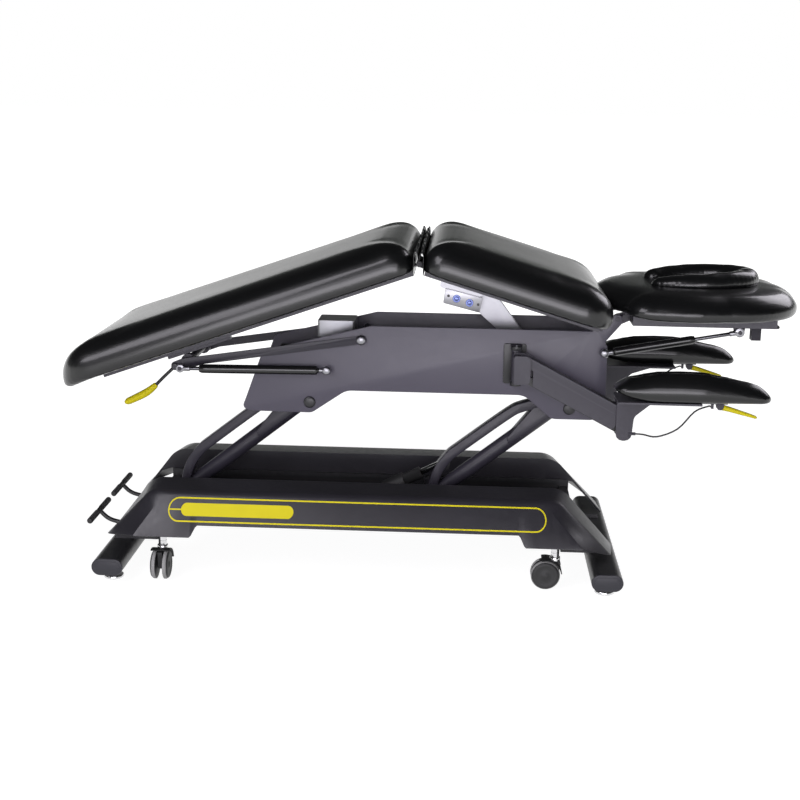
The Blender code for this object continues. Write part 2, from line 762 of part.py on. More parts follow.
for side, name in ((-1, "pedal_near"), (1, "pedal_far")):
    y = side * PEDAL_Y
    x = PEDAL_SHAFT_X
    z = PEDAL_SHAFT_Z
    tip = (x - PEDAL_REACH, y, z + PEDAL_RISE)
    route = [(x - PEDAL_HUB_R + 0.003, y, z + 0.001), (x - 0.3 * PEDAL_REACH, y, z + 0.0015),
             (x - 0.55 * PEDAL_REACH, y, z + 0.002), (x - 0.8 * PEDAL_REACH, y, z + 0.35 * PEDAL_RISE), tip]
    half = PEDAL_BAR / 2
    tread = [(PEDAL_BAR_R * 0.6, 0.0), (PEDAL_BAR_R, 0.004), (PEDAL_BAR_R, 2 * half - 0.004)]
    tread.append((PEDAL_BAR_R * 0.6, 2 * half))
    parts = [cross_rod(x, z, y - PEDAL_HUB / 2, y + PEDAL_HUB / 2, PEDAL_HUB_R)]
    parts.append(pipe(along_curve(route, 8), PEDAL_STEM_R, 6))
    parts.append(turned(tread, (tip[0], y - half, tip[2]), (0, 1, 0), 8))
    bore = cross_bore(x, z, y - PEDAL_HUB, y + PEDAL_HUB, PEDAL_SHAFT_R)
    node(name, finish(name, BLACK, 0.4), [welded(parts, [bore])], (x, y, z))


# Lift arms: a bowed bar over a round tube, with a pivot tube at each end

upper_x = LOWER_X + ARM_RUN
upper_z = LOWER_Z + ARM_RISE
arm_half = CHEEK_INNER - GAP
top_half = SIDE_INNER - GAP


def on_chassis(place):
    return (upper_x + place[0], upper_z + place[1])


side_outer = SIDE_INNER + SIDE_THICK


def shaft(place, half, radius, head_r, head, count=10):
    # A shaft across the table with a domed head at each end.
    profile = [(head_r - 0.006, 0.0), (head_r, head), (radius, head), (radius, head + 2 * half)]
    profile += [(head_r, head + 2 * half), (head_r - 0.006, 2 * head + 2 * half)]
    return turned(profile, (place[0], -half - head, place[1]), (0, 1, 0), count)


for x, name in ((LOWER_X, "lift_arm_leg_end"), (LOWER_X + ARM_SPACING, "lift_arm_head_end")):
    z = LOWER_Z
    far = (x + ARM_RUN, z + ARM_RISE)
    bow = [(x + 0.002, z + 0.006), (x + 0.005 * ARM_RUN, z + 0.13 * ARM_RISE),
           (x + 0.05 * ARM_RUN, z + 0.29 * ARM_RISE), (x + 0.15 * ARM_RUN, z + 0.445 * ARM_RISE),
           (x + 0.55 * ARM_RUN, z + 0.835 * ARM_RISE), (x + 0.66 * ARM_RUN, z + 0.915 * ARM_RISE),
           (x + 0.80 * ARM_RUN, z + 0.96 * ARM_RISE), (far[0] - 0.004, far[1] + 0.002)]
    solids = [cross_rod(x, z, -arm_half, arm_half, PIVOT_R, 12)]
    solids.append(cross_rod(*far, -top_half, top_half, PIVOT_R, 12))
    solids.append(slab(bar_outline(bow, BOW_DEPTH), -BOW_HALF, BOW_HALF))
    low = (x + 0.010, 0.0, z + 0.010)
    high = (far[0] - 0.010, 0.0, far[1] - 0.008)
    solids.append(rod(low, high, ARM_TUBE_R, 8))
    gusset = [(x + 0.555 * ARM_RUN, z + 0.61 * ARM_RISE), (x + 0.575 * ARM_RUN, z + 0.55 * ARM_RISE),
              (x + 0.87 * ARM_RUN, z + 0.83 * ARM_RISE), (far[0] + 0.008, far[1] - 0.018),
              (far[0] + 0.012, far[1] + 0.012), (x + 0.75 * ARM_RUN, z + 0.92 * ARM_RISE)]
    solids.append(slab(gusset, -GUSSET_HALF, GUSSET_HALF))
    solids.append(shaft((x, z), CHEEK_INNER + CHEEK_THICK + GAP, PIN_R, PIN_HEAD_R, PIN_HEAD))
    solids.append(shaft(far, side_outer + GAP, PIN_R, PIN_HEAD_R, DOME))
    cuts = []
    if x > LOWER_X:
        eye = (x + LIFT_LUG[0], z + LIFT_LUG[1])
        lug_r = LIFT_PIN_R + LIFT_PLAY + 0.0045
        for side in (-1, 1):
            y0, y1 = sorted((side * MOTOR_EAR_INNER, side * (MOTOR_EAR_INNER + MOTOR_EAR)))
            outline = rounded([(eye[0] - lug_r, eye[1] - lug_r, lug_r),
                               (eye[0] + 0.012, eye[1] - lug_r - 0.006),
                               (eye[0] + 0.018, eye[1] + lug_r + 0.004),
                               (eye[0] - lug_r, eye[1] + lug_r, lug_r)], 3)
            solids.append(slab(outline, y0, y1))
        cuts.append(cross_bore(*eye, -0.05, 0.05, LIFT_PIN_R, 10, LIFT_PLAY))
        slot = [(eye[0] - 0.055, eye[1] - 0.056), (eye[0] + 0.006, eye[1] - 0.036),
                (eye[0] + 0.014, eye[1] - 0.028), (eye[0] + 0.024, eye[1] + 0.03),
                (eye[0] - 0.03, eye[1] + 0.03), (eye[0] - 0.055, eye[1] + 0.014)]
        cuts.append(slab(slot, -MOTOR_EAR_INNER, MOTOR_EAR_INNER))
    node(name, finish(name, CHARCOAL, 0.35), [welded(solids, cuts)], (x, 0.0, z))


# Motors: a housing with an outer tube, and a rod that slides in it

def along(start, end):
    # Frame with its first axis from start to end in the XZ plane.
    run = Vector((end[0] - start[0], 0, end[1] - start[1])).normalized()
    rise = Vector((-run.z, 0, run.x))
    return Matrix(((run.x, 0, rise.x, start[0]), (0, 1, 0, 0), (run.z, 0, rise.z, start[1]), (0, 0, 0, 1)))


def motor(name, foot, lug, body_length, pin_r, housing, rod_gap):
    length = math.dist(foot, lug)
    turn = along(foot, lug)
    eye_half = MOTOR_EAR_INNER - GAP
    pin_half = MOTOR_EAR_INNER + MOTOR_EAR
    parts = [cross_rod(0, 0, -pin_half, pin_half, pin_r, 8)]
    parts.append(cross_rod(0, 0, -eye_half, eye_half, 0.013, 10))
    parts.append(block(0.004, 0.03, -0.010, 0.010, -0.009, 0.009))
    parts.append(rod((0.02, 0, 0), (body_length, 0, 0), MOTOR_TUBE_R, 12))
    parts.append(rod((0.022, 0, housing), (0.085, 0, housing), MOTOR_HOUSING_R, 12))
    bore = bore_hole((0.032, 0, 0), (body_length + 0.01, 0, 0), MOTOR_ROD_R, 10)
    shell = moved(welded(parts, [bore]), turn)
    node(name + "_motor", finish(name + "_motor", BLACK, 0.4), [shell], (foot[0], 0.0, foot[1]))
    parts = [rod((0.036 + rod_gap, 0, 0), (length - 0.004, 0, 0), MOTOR_ROD_R, 10)]
    parts.append(cross_rod(length, 0, -eye_half, eye_half, 0.010, 10))
    parts.append(cross_rod(length, 0, -pin_half, pin_half, pin_r, 8))
    slider = moved(welded(parts), turn)
    node(name + "_rod", finish(name + "_rod", (0.7, 0.7, 0.7), 0.25, 1.0), [slider], (lug[0], 0.0, lug[1]))


lift_lug = (LOWER_X + ARM_SPACING + LIFT_LUG[0], LOWER_Z + LIFT_LUG[1])
motor("lift", LIFT_FOOT, lift_lug, 0.136, LIFT_PIN_R, -0.004, 0.05)


# Chassis: two side plates, a tray between them, pins, a control box and the armrest mounts

arm_bearing = on_chassis(ARM_BEARING)
strut_foot = on_chassis(STRUT_FOOT)
mid_hinge = on_chassis(MID_HINGE)
head_hinge = on_chassis(HEAD_HINGE)
head_strut_foot = on_chassis(HEAD_STRUT_FOOT)
back_foot = on_chassis(BACK_MOTOR_FOOT)
far_x = ARM_SPACING

mid_x, mid_z = MID_HINGE
head_x, head_z = HEAD_HINGE
side_corners = [(-0.126, 0.138, 0.015), (-0.171, 0.011, 0.02), (-0.184, -0.023, 0.03),
                (-0.150, -0.028, 0.03), (0.006, -0.029, 0.03), (0.098, 0.034, 0.05),
                (far_x - 0.121, 0.034, 0.05), (far_x - 0.046, -0.029, 0.03),
                (far_x + 0.089, -0.029, 0.055), (far_x + 0.095, 0.041, 0.02), (far_x + 0.093, 0.172),
                (mid_x + 0.012, mid_z - 0.036, 0.006), (head_x + 0.012, head_z - 0.010, 0.008),
                (head_x + 0.012, head_z + 0.012, 0.011), (head_x - 0.013, head_z + 0.012, 0.011),
                (mid_x + 0.016, mid_z + 0.013, 0.010), (mid_x - 0.014, mid_z + 0.014, 0.012),
                (mid_x - 0.019, 0.211, 0.006), (0.164, 0.211, 0.03)]
side_outline = rounded([(*on_chassis(corner[:2]), *corner[2:]) for corner in side_corners], 3)

floor_low = upper_z + TRAY_FLOOR
floor_high = floor_low + TRAY_THICK
tray_x0 = upper_x - 0.110
tray_x1 = upper_x + far_x + 0.080
tray_half = SIDE_INNER - GAP
solids = [block(tray_x0, tray_x1, -tray_half, tray_half, floor_low, floor_high)]
wall_high = floor_low + TRAY_SIDE
for side in (-1, 1):
    y0, y1 = sorted((side * tray_half, side * (tray_half - TRAY_WALL)))
    solids.append(block(tray_x0 + 0.001, tray_x1 - 0.001, y0, y1, floor_low + 0.001, wall_high))
for x in (tray_x0 + 0.002, tray_x1 - TRAY_WALL - 0.002):
    inner = tray_half - 0.001
    solids.append(block(x, x + TRAY_WALL, -inner, inner, floor_low + 0.002, wall_high - 0.002))
for side in (-1, 1):
    y0, y1 = sorted((side * MOTOR_EAR_INNER, side * (MOTOR_EAR_INNER + MOTOR_EAR)))
    x, z = back_foot
    ear = rounded([(x - 0.03, floor_high - 0.002), (x + 0.006, floor_high - 0.002),
                   (x + 0.013, z + 0.013, 0.012), (x - 0.013, z + 0.013, 0.012)], 3)
    solids.append(slab(ear, y0, y1))
cuts = [cross_bore(*back_foot, -0.05, 0.05, BACK_PIN_R, 8)]
node("chassis_tray", finish("chassis_tray", BLACK, 0.45), [welded(solids, cuts)], (upper_x, 0.0, floor_low))

support_outer = SUPPORT_INNER + SUPPORT_THICK
ear_inner = SIDE_INNER - GAP - EAR_THICK
strut_out = STRUT_Y + STRUT_EYE / 2

box_x = upper_x + 0.014
box_low = floor_high + GAP
box_plan = rounded([(box_x, -0.05, 0.006), (box_x + 0.10, -0.05, 0.006),
                    (box_x + 0.10, 0.05, 0.006), (box_x, 0.05, 0.006)], 3)
solids = [slab(box_plan, upper_z + 0.166, upper_z + 0.211, "z")]
for x in (box_x + 0.015, box_x + 0.082):
    solids.append(block(x, x + 0.003, -0.04, 0.04, box_low, upper_z + 0.170))
    solids.append(block(x - 0.012, x + 0.002, -0.038, 0.038, box_low, box_low + 0.003))
silver = finish("control_box", (0.55, 0.56, 0.58), 0.35, 1.0)
node("control_box", silver, [welded(solids)], (box_x, 0.0, box_low))


# Middle and leg sections, built in frames that start at the fold

tilt = math.radians(MID_TILT)
mid_run = Vector((math.cos(tilt), 0, -math.sin(tilt)))
mid_up = Vector((math.sin(tilt), 0, math.cos(tilt)))
hinge_point = Vector((mid_hinge[0], 0, mid_hinge[1]))
fold = hinge_point - MID_HINGE_S * mid_run - MID_HINGE_T * mid_up
mid_turn = Matrix(((mid_run.x, 0, mid_up.x, fold.x), (0, 1, 0, 0),
                   (mid_run.z, 0, mid_up.z, fold.z), (0, 0, 0, 1)))
tilt = math.radians(LEG_TILT)
leg_run = Vector((-math.cos(tilt), 0, -math.sin(tilt)))
leg_up = Vector((-math.sin(tilt), 0, math.cos(tilt)))
leg_turn = Matrix(((leg_run.x, 0, leg_up.x, fold.x), (0, -1, 0, 0),
                   (leg_run.z, 0, leg_up.z, fold.z), (0, 0, 0, 1)))
mid_back = mid_turn.inverted()


def cushion(length, thick):
    # Crowned pad with rounded corners and drawn-in sides, lower face at zero.
    half = (length - SETBACK) / 2
    middle = SETBACK + half
    rings = []
    sides = [(0.034, 0.0), (0.014, 0.07), (0.004, 0.24), (0.0, 0.48)]
    sides += [(0.003, 0.70), (0.012, 0.88), (0.028, 0.97)]
    for inset, height in sides:
        points = oval(half - inset, CUSHION_HALF - inset, max(CUSHION_CORNER - inset, 0.012), 5)
        rings.append([(x + middle, y, height * thick) for x, y in points])
    for inset, rise in ((0.055, 0.35), (0.11, 0.75), (0.20, 1.0)):
        points = oval(half - inset, CUSHION_HALF - inset, 0.02, 5)
        height = thick - CUSHION_CROWN + rise * CUSHION_CROWN
        rings.append([(x + middle, y, height) for x, y in points])
    return loft(rings)


def section_frame(end, spine, bays):
    # Shallow steel tray with a rim, a spine and ribs.
    tray = block(FRAME_START, end, -FRAME_HALF, FRAME_HALF, -FRAME_RIM, -GAP)
    pockets = []
    step = (end - FRAME_START - FRAME_SHEET) / bays
    for k in range(bays):
        s0 = FRAME_START + FRAME_SHEET + k * step
        for side in (-1, 1):
            y0, y1 = sorted((side * spine, side * (FRAME_HALF - FRAME_SHEET)))
            pockets.append(block(s0, s0 + step - FRAME_SHEET, y0, y1, -FRAME_RIM - 0.01, -GAP - FRAME_SHEET))
    return tray, pockets


def strap(y0, y1):
    return block(0.0, FRAME_START + 0.006, y0, y1, -KNUCKLE_R + 0.001, -KNUCKLE_R + 0.005)


knuckle_low = KNUCKLE_Y - KNUCKLE_WIDTH / 2
knuckle_high = KNUCKLE_Y + KNUCKLE_WIDTH / 2

tray, pockets = section_frame(LEG_FRAME_END, 0.03, 3)
after = []
for side in (-1, 1):
    y0, y1 = sorted((side * knuckle_low, side * knuckle_high))
    after.append(cross_rod(0, 0, y0, y1, KNUCKLE_R, 8))
    after.append(strap(y0 + 0.002, y1 - 0.002))
    y0 = side * RUNNER_Y - RUNNER_WIDTH / 2
    after.append(block(RUNNER_S0, RUNNER_S1, y0, y0 + RUNNER_WIDTH, -RUNNER_DEPTH, -GAP - FRAME_SHEET / 2))
shell = welded([welded([tray], pockets)] + after, [cross_bore(0, 0, -0.4, 0.4, KNUCKLE_PIN_R, 8)])
node("leg_frame", finish("leg_frame", BLACK, 0.45), [moved(shell, leg_turn)], fold)
soft = moved(cushion(LEG_LENGTH, CUSHION_THICK), leg_turn)
node("leg_cushion", finish("leg_cushion", BLACK, 0.35), [soft], fold, 60.0)

tray, pockets = section_frame(MID_FRAME_END, BRACKET_HALF + 0.004, 2)
after = []
ear_outer = ear_inner + EAR_THICK
for side in (-1, 1):
    inside = (knuckle_low - KNUCKLE_WIDTH, knuckle_low - GAP)
    outside = (knuckle_high + GAP, knuckle_high + KNUCKLE_WIDTH)
    for y0, y1 in (inside, outside):
        y0, y1 = sorted((side * y0, side * y1))
        after.append(cross_rod(0, 0, y0, y1, KNUCKLE_R, 8))
        after.append(strap(y0 + 0.002, y1 - 0.002))
    y0, y1 = sorted((side * (knuckle_low - 0.02), side * (knuckle_high + 0.02)))
    after.append(cross_rod(0, 0, y0, y1, KNUCKLE_PIN_R, 8))
    y0, y1 = sorted((side * ear_inner, side * ear_outer))
    ear = rounded([(MID_FRAME_END - 0.09, -0.004), (MID_FRAME_END - 0.05, -0.021),
                   (MID_HINGE_S - 0.016, MID_HINGE_T - 0.013, 0.012),
                   (MID_HINGE_S + 0.013, MID_HINGE_T - 0.013, 0.012),
                   (MID_HINGE_S + 0.013, MID_HINGE_T + 0.013, 0.012), (MID_FRAME_END - 0.002, -0.004)], 3)
    after.append(slab(ear, y0, y1))
    y0, y1 = sorted((side * (ear_inner + 0.002), side * (side_outer + PIN_PROUD)))
    after.append(cross_rod(MID_HINGE_S, MID_HINGE_T, y0, y1, SMALL_PIN_R))
shell = welded([welded([tray], pockets)] + after)
node("mid_frame", finish("mid_frame", BLACK, 0.45), [moved(shell, mid_turn)], hinge_point)
soft = moved(cushion(MID_LENGTH, CUSHION_THICK), mid_turn)
node("mid_cushion", finish("mid_cushion", BLACK, 0.35), [soft], hinge_point, 60.0)

back_lug = on_chassis(BACK_LUG)
lug = mid_back @ Vector((back_lug[0], 0, back_lug[1]))
seat = -FRAME_RIM - GAP
lug_r = BACK_PIN_R + BACK_PLAY + 0.005
solids = [block(BRACKET_S0, BRACKET_S1, -BRACKET_HALF, BRACKET_HALF, seat - BRACKET_PLATE, seat)]
arm = [(BRACKET_S0 + 0.004, seat - 0.002), (BRACKET_S0 + 0.012, -0.066, 0.008),
       (BRACKET_S0 + 0.075, -0.078, 0.02), (lug.x - lug_r - 0.006, lug.z - lug_r, lug_r),
       (lug.x + lug_r, lug.z - lug_r, lug_r), (lug.x + lug_r, lug.z + lug_r, lug_r),
       (lug.x - 0.060, lug.z + 0.055, 0.03), (BRACKET_S1 - 0.004, seat - 0.002)]
for side in (-1, 1):
    y0, y1 = sorted((side * MOTOR_EAR_INNER, side * (MOTOR_EAR_INNER + MOTOR_EAR)))
    solids.append(slab(rounded(arm, 3), y0, y1))
    y0, y1 = sorted((side * (BRACKET_HALF - BRACKET_PLATE), side * BRACKET_HALF))
    cheek = rounded([(BRACKET_S0, seat - 0.002), (BRACKET_S0, -0.064, 0.006),
                     (BRACKET_S1 - 0.02, -0.064, 0.03), (BRACKET_S1, seat - 0.002)], 3)
    solids.append(slab(cheek, y0, y1))
shell = welded(solids, [cross_bore(lug.x, lug.z, -0.05, 0.05, BACK_PIN_R, 10, BACK_PLAY)])
zinc = finish("mid_lift_bracket", (0.72, 0.73, 0.74), 0.3, 1.0)
node("mid_lift_bracket", zinc, [moved(shell, mid_turn)], hinge_point)
motor("mid", back_foot, back_lug, 0.27, BACK_PIN_R, -0.028, 0.10)


# Support arm under the leg section, its gas spring and its release lever

shoe_t = -RUNNER_DEPTH - GAP - SHOE_R
shoe = leg_turn @ Vector((SHOE_S, 0, shoe_t))
bar_run = Vector((shoe.x - arm_bearing[0], 0, shoe.z - arm_bearing[1]))
bar_length = bar_run.length
bar_run.normalize()
bar_down = Vector((-bar_run.z, 0, bar_run.x))
if bar_down.z > 0:
    bar_down = -bar_down


def on_bar(place):
    point = shoe + place[0] * bar_run + place[1] * bar_down
    return (point.x, point.z)


strut_tip = on_bar(STRUT_TIP)
lever_root = on_bar(LEVER_ROOT)
band = SUPPORT_DEPTH / 2
corners = []
for along_bar, down, radius in ((-bar_length - 0.013, -band, 0.010), (-bar_length - 0.013, band, 0.010),
                                (-0.04, band, 0.02), (STRUT_TIP[0] - 0.008, STRUT_TIP[1] + 0.010, 0.006),
                                (LEVER_ROOT[0] + 0.010, LEVER_ROOT[1] + 0.010, 0.008),
                                (LEVER_ROOT[0] + 0.010, LEVER_ROOT[1] - 0.010, 0.008), (0.012, -band, 0.010)):
    corners.append((*on_bar((along_bar, down)), radius))
bar = rounded(corners, 3)
cross_half = SUPPORT_INNER + 0.002
shoe_y0 = RUNNER_Y - RUNNER_WIDTH / 2
solids = [cross_rod(shoe.x, shoe.z, -cross_half, cross_half, CROSS_TUBE_R, 10)]
for side in (-1, 1):
    y0, y1 = sorted((side * SUPPORT_INNER, side * support_outer))
    solids.append(slab(bar, y0, y1))
    y0, y1 = sorted((side * shoe_y0, side * (shoe_y0 + RUNNER_WIDTH)))
    solids.append(cross_rod(shoe.x, shoe.z, y0, y1, SHOE_R, 14))
lever_hub = 0.009
solids.append(cross_rod(*strut_tip, -strut_out - 0.002, -SUPPORT_INNER - 0.002, SMALL_PIN_R, 8))
hub_out = support_outer + GAP + lever_hub
solids.append(cross_rod(*lever_root, -hub_out - 0.001, -SUPPORT_INNER - 0.002, LEVER_R, 8))
solids.append(shaft(arm_bearing, support_outer - 0.0005, SMALL_PIN_R, SMALL_HEAD_R, DOME))
node("leg_support_arm", finish("leg_support_arm", CHARCOAL, 0.35), [welded(solids)],
     (arm_bearing[0], 0.0, arm_bearing[1]))


def gas_spring(name, foot, tip, body_length, radius, tip_pin, play):
    length = math.dist(foot, tip)
    turn = Matrix.Translation((0, -STRUT_Y, 0)) @ along(foot, tip)
    half = STRUT_EYE / 2
    profile = [(radius * 0.5, 0.0), (radius, 0.010), (radius, body_length - 0.030)]
    profile.append((radius * 0.75, body_length - 0.022))
    shell = [turned(profile, (0.018, 0, 0), (1, 0, 0), 12), cross_rod(0, 0, -half, half, 0.011, 10)]
    shell.append(block(0.004, 0.024, -0.004, 0.004, -0.005, 0.005))
    end = body_length - 0.004
    bores = [cross_bore(0, 0, -0.02, 0.02, SMALL_PIN_R)]
    bores.append(bore_hole((0.05, 0, 0), (end + 0.02, 0, 0), STRUT_ROD_R, 8))
    body = moved(welded(shell, bores), turn)
    node(name + "_cylinder", finish(name + "_cylinder", BLACK, 0.25), [body], (foot[0], -STRUT_Y, foot[1]))
    eye_r = (tip_pin + play) * 1.05 + 0.004
    slider = [rod((0.10, 0, 0), (length - eye_r + 0.002, 0, 0), STRUT_ROD_R, 8)]
    slider.append(cross_rod(length, 0, -half, half, eye_r, 10))
    shape = moved(welded(slider, [cross_bore(length, 0, -0.02, 0.02, tip_pin, 10, play)]), turn)
    dark = finish(name + "_rod", (0.05, 0.05, 0.05), 0.3, 1.0)
    node(name + "_rod", dark, [shape], (tip[0], -STRUT_Y, tip[1]))


gas_spring("leg_strut", strut_foot, strut_tip, STRUT_BODY, STRUT_R, SMALL_PIN_R, STRUT_PLAY)

lever_y = -(support_outer + GAP + lever_hub / 2)
root_x, root_z = lever_root
route = [(root_x - 0.004, lever_y, root_z - 0.004), (root_x - 0.030, lever_y, root_z - 0.029),
         (root_x - 0.058, lever_y, root_z - 0.057), (root_x - 0.085, lever_y, root_z - 0.077),
         (root_x - 0.137, lever_y, root_z - 0.103)]
points = along_curve(route, 10)
radii = []
for i in range(10):
    radii.append(LEVER_ROD_R if i < 6 else GRIP_R)
radii[-1] = GRIP_R * 0.6
parts = [cross_rod(root_x, root_z, lever_y - lever_hub / 2, lever_y + lever_hub / 2, 0.009, 10)]
parts.append(pipe(points, radii, 8))
bore = cross_bore(root_x, root_z, lever_y - 0.02, lever_y + 0.02, LEVER_R, 8)
node("leg_release_lever", finish("leg_release_lever", YELLOW, 0.4), [welded(parts, [bore])],
     (root_x, lever_y, root_z))


# Head section: frame, cushion with a face hole, horseshoe face cushion, strut and handle

hx, hz = head_hinge
seat_z = hz + HEAD_SEAT
frame_low = seat_z - HEAD_FRAME_RIM
hole_x = hx + FACE_HOLE_X


def polar(outline, centre, count):
    # The outline met by even rays from a centre inside it.
    points = []
    for k in range(count):
        ray = Vector((math.cos(2 * math.pi * k / count), math.sin(2 * math.pi * k / count)))
        reach = 0.0
        for i, end in enumerate(outline):
            a = Vector(outline[i - 1]) - Vector(centre)
            edge = Vector(end) - Vector(outline[i - 1])
            cross = ray.x * edge.y - ray.y * edge.x
            if abs(cross) < 1e-12:
                continue
            far = (a.x * edge.y - a.y * edge.x) / cross
            share = (a.x * ray.y - a.y * ray.x) / cross
            if -1e-9 <= share <= 1 + 1e-9:
                reach = max(reach, far)
        points.append(Vector(centre) + reach * ray)
    return points


def inward(points, inset):
    # The outline moved square to itself, towards its inside.
    result = []
    count = len(points)
    for i in range(count):
        edge = points[(i + 1) % count] - points[i - 1]
        normal = Vector((-edge.y, edge.x)).normalized()
        result.append(points[i] + inset * normal)
    return result


frame_solid = block(hx + HEAD_FRAME_START, hx + HEAD_FRAME_END, -HEAD_FRAME_HALF, HEAD_FRAME_HALF,
                    frame_low, seat_z - GAP)
pockets = []
sheet = FRAME_SHEET
x0 = hx + HEAD_FRAME_START + sheet
x1 = hx + HEAD_FRAME_END - sheet
for side in (-1, 1):
    y0, y1 = sorted((side * (FACE_HOLE_WIDTH / 2 + 0.03), side * (HEAD_FRAME_HALF - sheet)))
    pockets.append(block(x0, x1, y0, y1, frame_low - 0.01, seat_z - GAP - sheet))
opening = oval(FACE_HOLE_LENGTH / 2 + 0.012, FACE_HOLE_WIDTH / 2 + 0.012, 0.05, 5)
opening = [(x + hole_x, y) for x, y in opening]
pockets.append(slab(opening, frame_low - 0.01, seat_z + 0.01, "z"))
parts = [welded([frame_solid], pockets)]
for side in (-1, 1):
    y0, y1 = sorted((side * ear_inner, side * ear_outer))
    ear = rounded([(hx - 0.012, hz - 0.012, 0.011), (hx + 0.012, hz - 0.012, 0.011),
                   (hx + HEAD_FRAME_START + 0.012, frame_low + 0.004),
                   (hx + HEAD_FRAME_START + 0.05, seat_z - 0.002),
                   (hx + HEAD_FRAME_START - 0.004, seat_z - 0.002), (hx - 0.012, hz + 0.012, 0.011)], 3)
    parts.append(slab(ear, y0, y1))
    y0, y1 = sorted((side * (ear_inner + 0.002), side * (side_outer + PIN_PROUD)))
    parts.append(cross_rod(hx, hz, y0, y1, SMALL_PIN_R))
    px = hx + HANDLE_PIVOT[0]
    pz = hz + HANDLE_PIVOT[1]
    y0, y1 = sorted((side * (HANDLE_HALF + 0.003), side * (HANDLE_HALF + 0.008)))
    lug = rounded([(px - 0.007, pz - 0.007, 0.006), (px + 0.007, pz - 0.007, 0.006),
                   (px + 0.007, seat_z - 0.002), (px - 0.007, seat_z - 0.002)], 3)
    parts.append(slab(lug, y0, y1))
    y0, y1 = sorted((side * (HANDLE_HALF - 0.008), side * (HANDLE_HALF + 0.007)))
    parts.append(cross_rod(px, pz, y0, y1, HANDLE_PIN_R, 6))
qx = hx + HEAD_STRUT_TIP[0]
qz = hz + HEAD_STRUT_TIP[1]
lug = rounded([(qx - 0.012, qz - 0.011, 0.010), (qx + 0.012, qz - 0.011, 0.010),
               (qx + 0.020, seat_z - 0.002), (qx - 0.020, seat_z - 0.002)], 3)
lug_y = -(STRUT_Y - STRUT_EYE / 2 - 0.002)
parts.append(slab(lug, lug_y, lug_y + 0.006))
parts.append(cross_rod(qx, qz, -strut_out - 0.003, lug_y + 0.004, HEAD_STRUT_PIN_R, 8))
parts.append(block(qx + 0.028, qx + 0.052, -0.160, -0.132, qz - 0.018, seat_z - 0.002))
node("head_frame", finish("head_frame", CHARCOAL, 0.4), [welded(parts)], (hx, 0.0, hz))

x0 = hx + HEAD_START
x1 = hx + HEAD_END
plan = rounded([(x0, -HEAD_HALF, 0.07), (x1, -HEAD_HALF, 0.21),
                (x1, HEAD_HALF, 0.21), (x0, HEAD_HALF, 0.07)], 10)
rays = 26
outer = polar(plan, (hole_x, 0.0), rays)
hole = [(x + hole_x, y) for x, y in oval(FACE_HOLE_LENGTH / 2, FACE_HOLE_WIDTH / 2, 0.05, 6)]
inner = polar(hole, (hole_x, 0.0), rays)
rings = []
head_side = [(0.040, 0.0), (0.016, 0.06), (0.004, 0.22), (0.0, 0.44)]
head_side += [(0.005, 0.68), (0.018, 0.87), (0.040, 0.96)]
for inset, height in head_side:
    rings.append([(p.x, p.y, seat_z + height * HEAD_THICK) for p in inward(outer, inset)])
rings.append([(*(0.5 * p + 0.5 * q), seat_z + HEAD_THICK) for p, q in zip(inward(outer, 0.05), inner)])
for inset, height in ((-0.018, 0.97), (-0.004, 0.90), (0.0, 0.70), (0.0, 0.10), (-0.004, 0.0)):
    rings.append([(p.x, p.y, seat_z + height * HEAD_THICK) for p in inward(inner, inset)])
node("head_cushion", finish("head_cushion", BLACK, 0.35), [loft(rings, True)], (hx, 0.0, hz), 60.0)

face_low = seat_z + HEAD_THICK + GAP
section = ((-0.38, 0.0), (-0.5, 0.25), (-0.46, 0.62), (-0.32, 0.88), (-0.11, 1.0),
           (0.11, 1.0), (0.32, 0.88), (0.46, 0.62), (0.5, 0.25), (0.38, 0.0))
rings = []
turns = 20
for k in range(turns + 1):
    angle = math.radians(-142 + 284 * k / turns)
    rise = 0.72 + 0.28 * math.cos(angle / 1.6)
    taper = 1.0 - 0.3 * (abs(angle) / math.radians(142)) ** 4
    if k in (0, turns):
        taper *= 0.55
    middle = Vector((hx + FACE_X + FACE_RADIUS_X * math.cos(angle), FACE_RADIUS_Y * math.sin(angle)))
    along_path = Vector((-FACE_RADIUS_X * math.sin(angle), FACE_RADIUS_Y * math.cos(angle))).normalized()
    out = Vector((along_path.y, -along_path.x))
    ring = []
    for across, height in section:
        spot = middle + out * across * FACE_BAND * taper
        ring.append((spot.x, spot.y, face_low + height * FACE_HEIGHT * rise * taper))
    rings.append(ring)
node("face_cushion", finish("face_cushion", BLACK, 0.35), [loft(rings)], (hx, 0.0, hz), 60.0)

gas_spring("head_strut", head_strut_foot, (qx, qz), HEAD_STRUT_BODY, HEAD_STRUT_R, HEAD_STRUT_PIN_R,
           HEAD_STRUT_PLAY)

eye_half = 0.0045
wire = []
reach = HANDLE_REACH
for share, y in ((0.12, -1), (0.78, -1), (0.95, -0.94), (1.0, -0.78), (1.0, 0.78), (0.95, 0.94),
                 (0.78, 1), (0.12, 1)):
    wire.append((px + share * reach, y * (HANDLE_HALF - 0.0018), pz - share * HANDLE_DROP))
parts = [pipe(wire, HANDLE_R, 6)]
for side in (-1, 1):
    middle = side * (HANDLE_HALF - 0.0018)
    parts.append(cross_rod(px, pz, middle - eye_half, middle + eye_half, 0.0065, 8))
bore = cross_bore(px, pz, -0.2, 0.2, HANDLE_PIN_R, 6)
node("head_handle", finish("head_handle", BLACK, 0.35), [welded(parts, [bore])], (px, 0.0, pz))


# Armrests: made for the near side, and mirrored for the far side

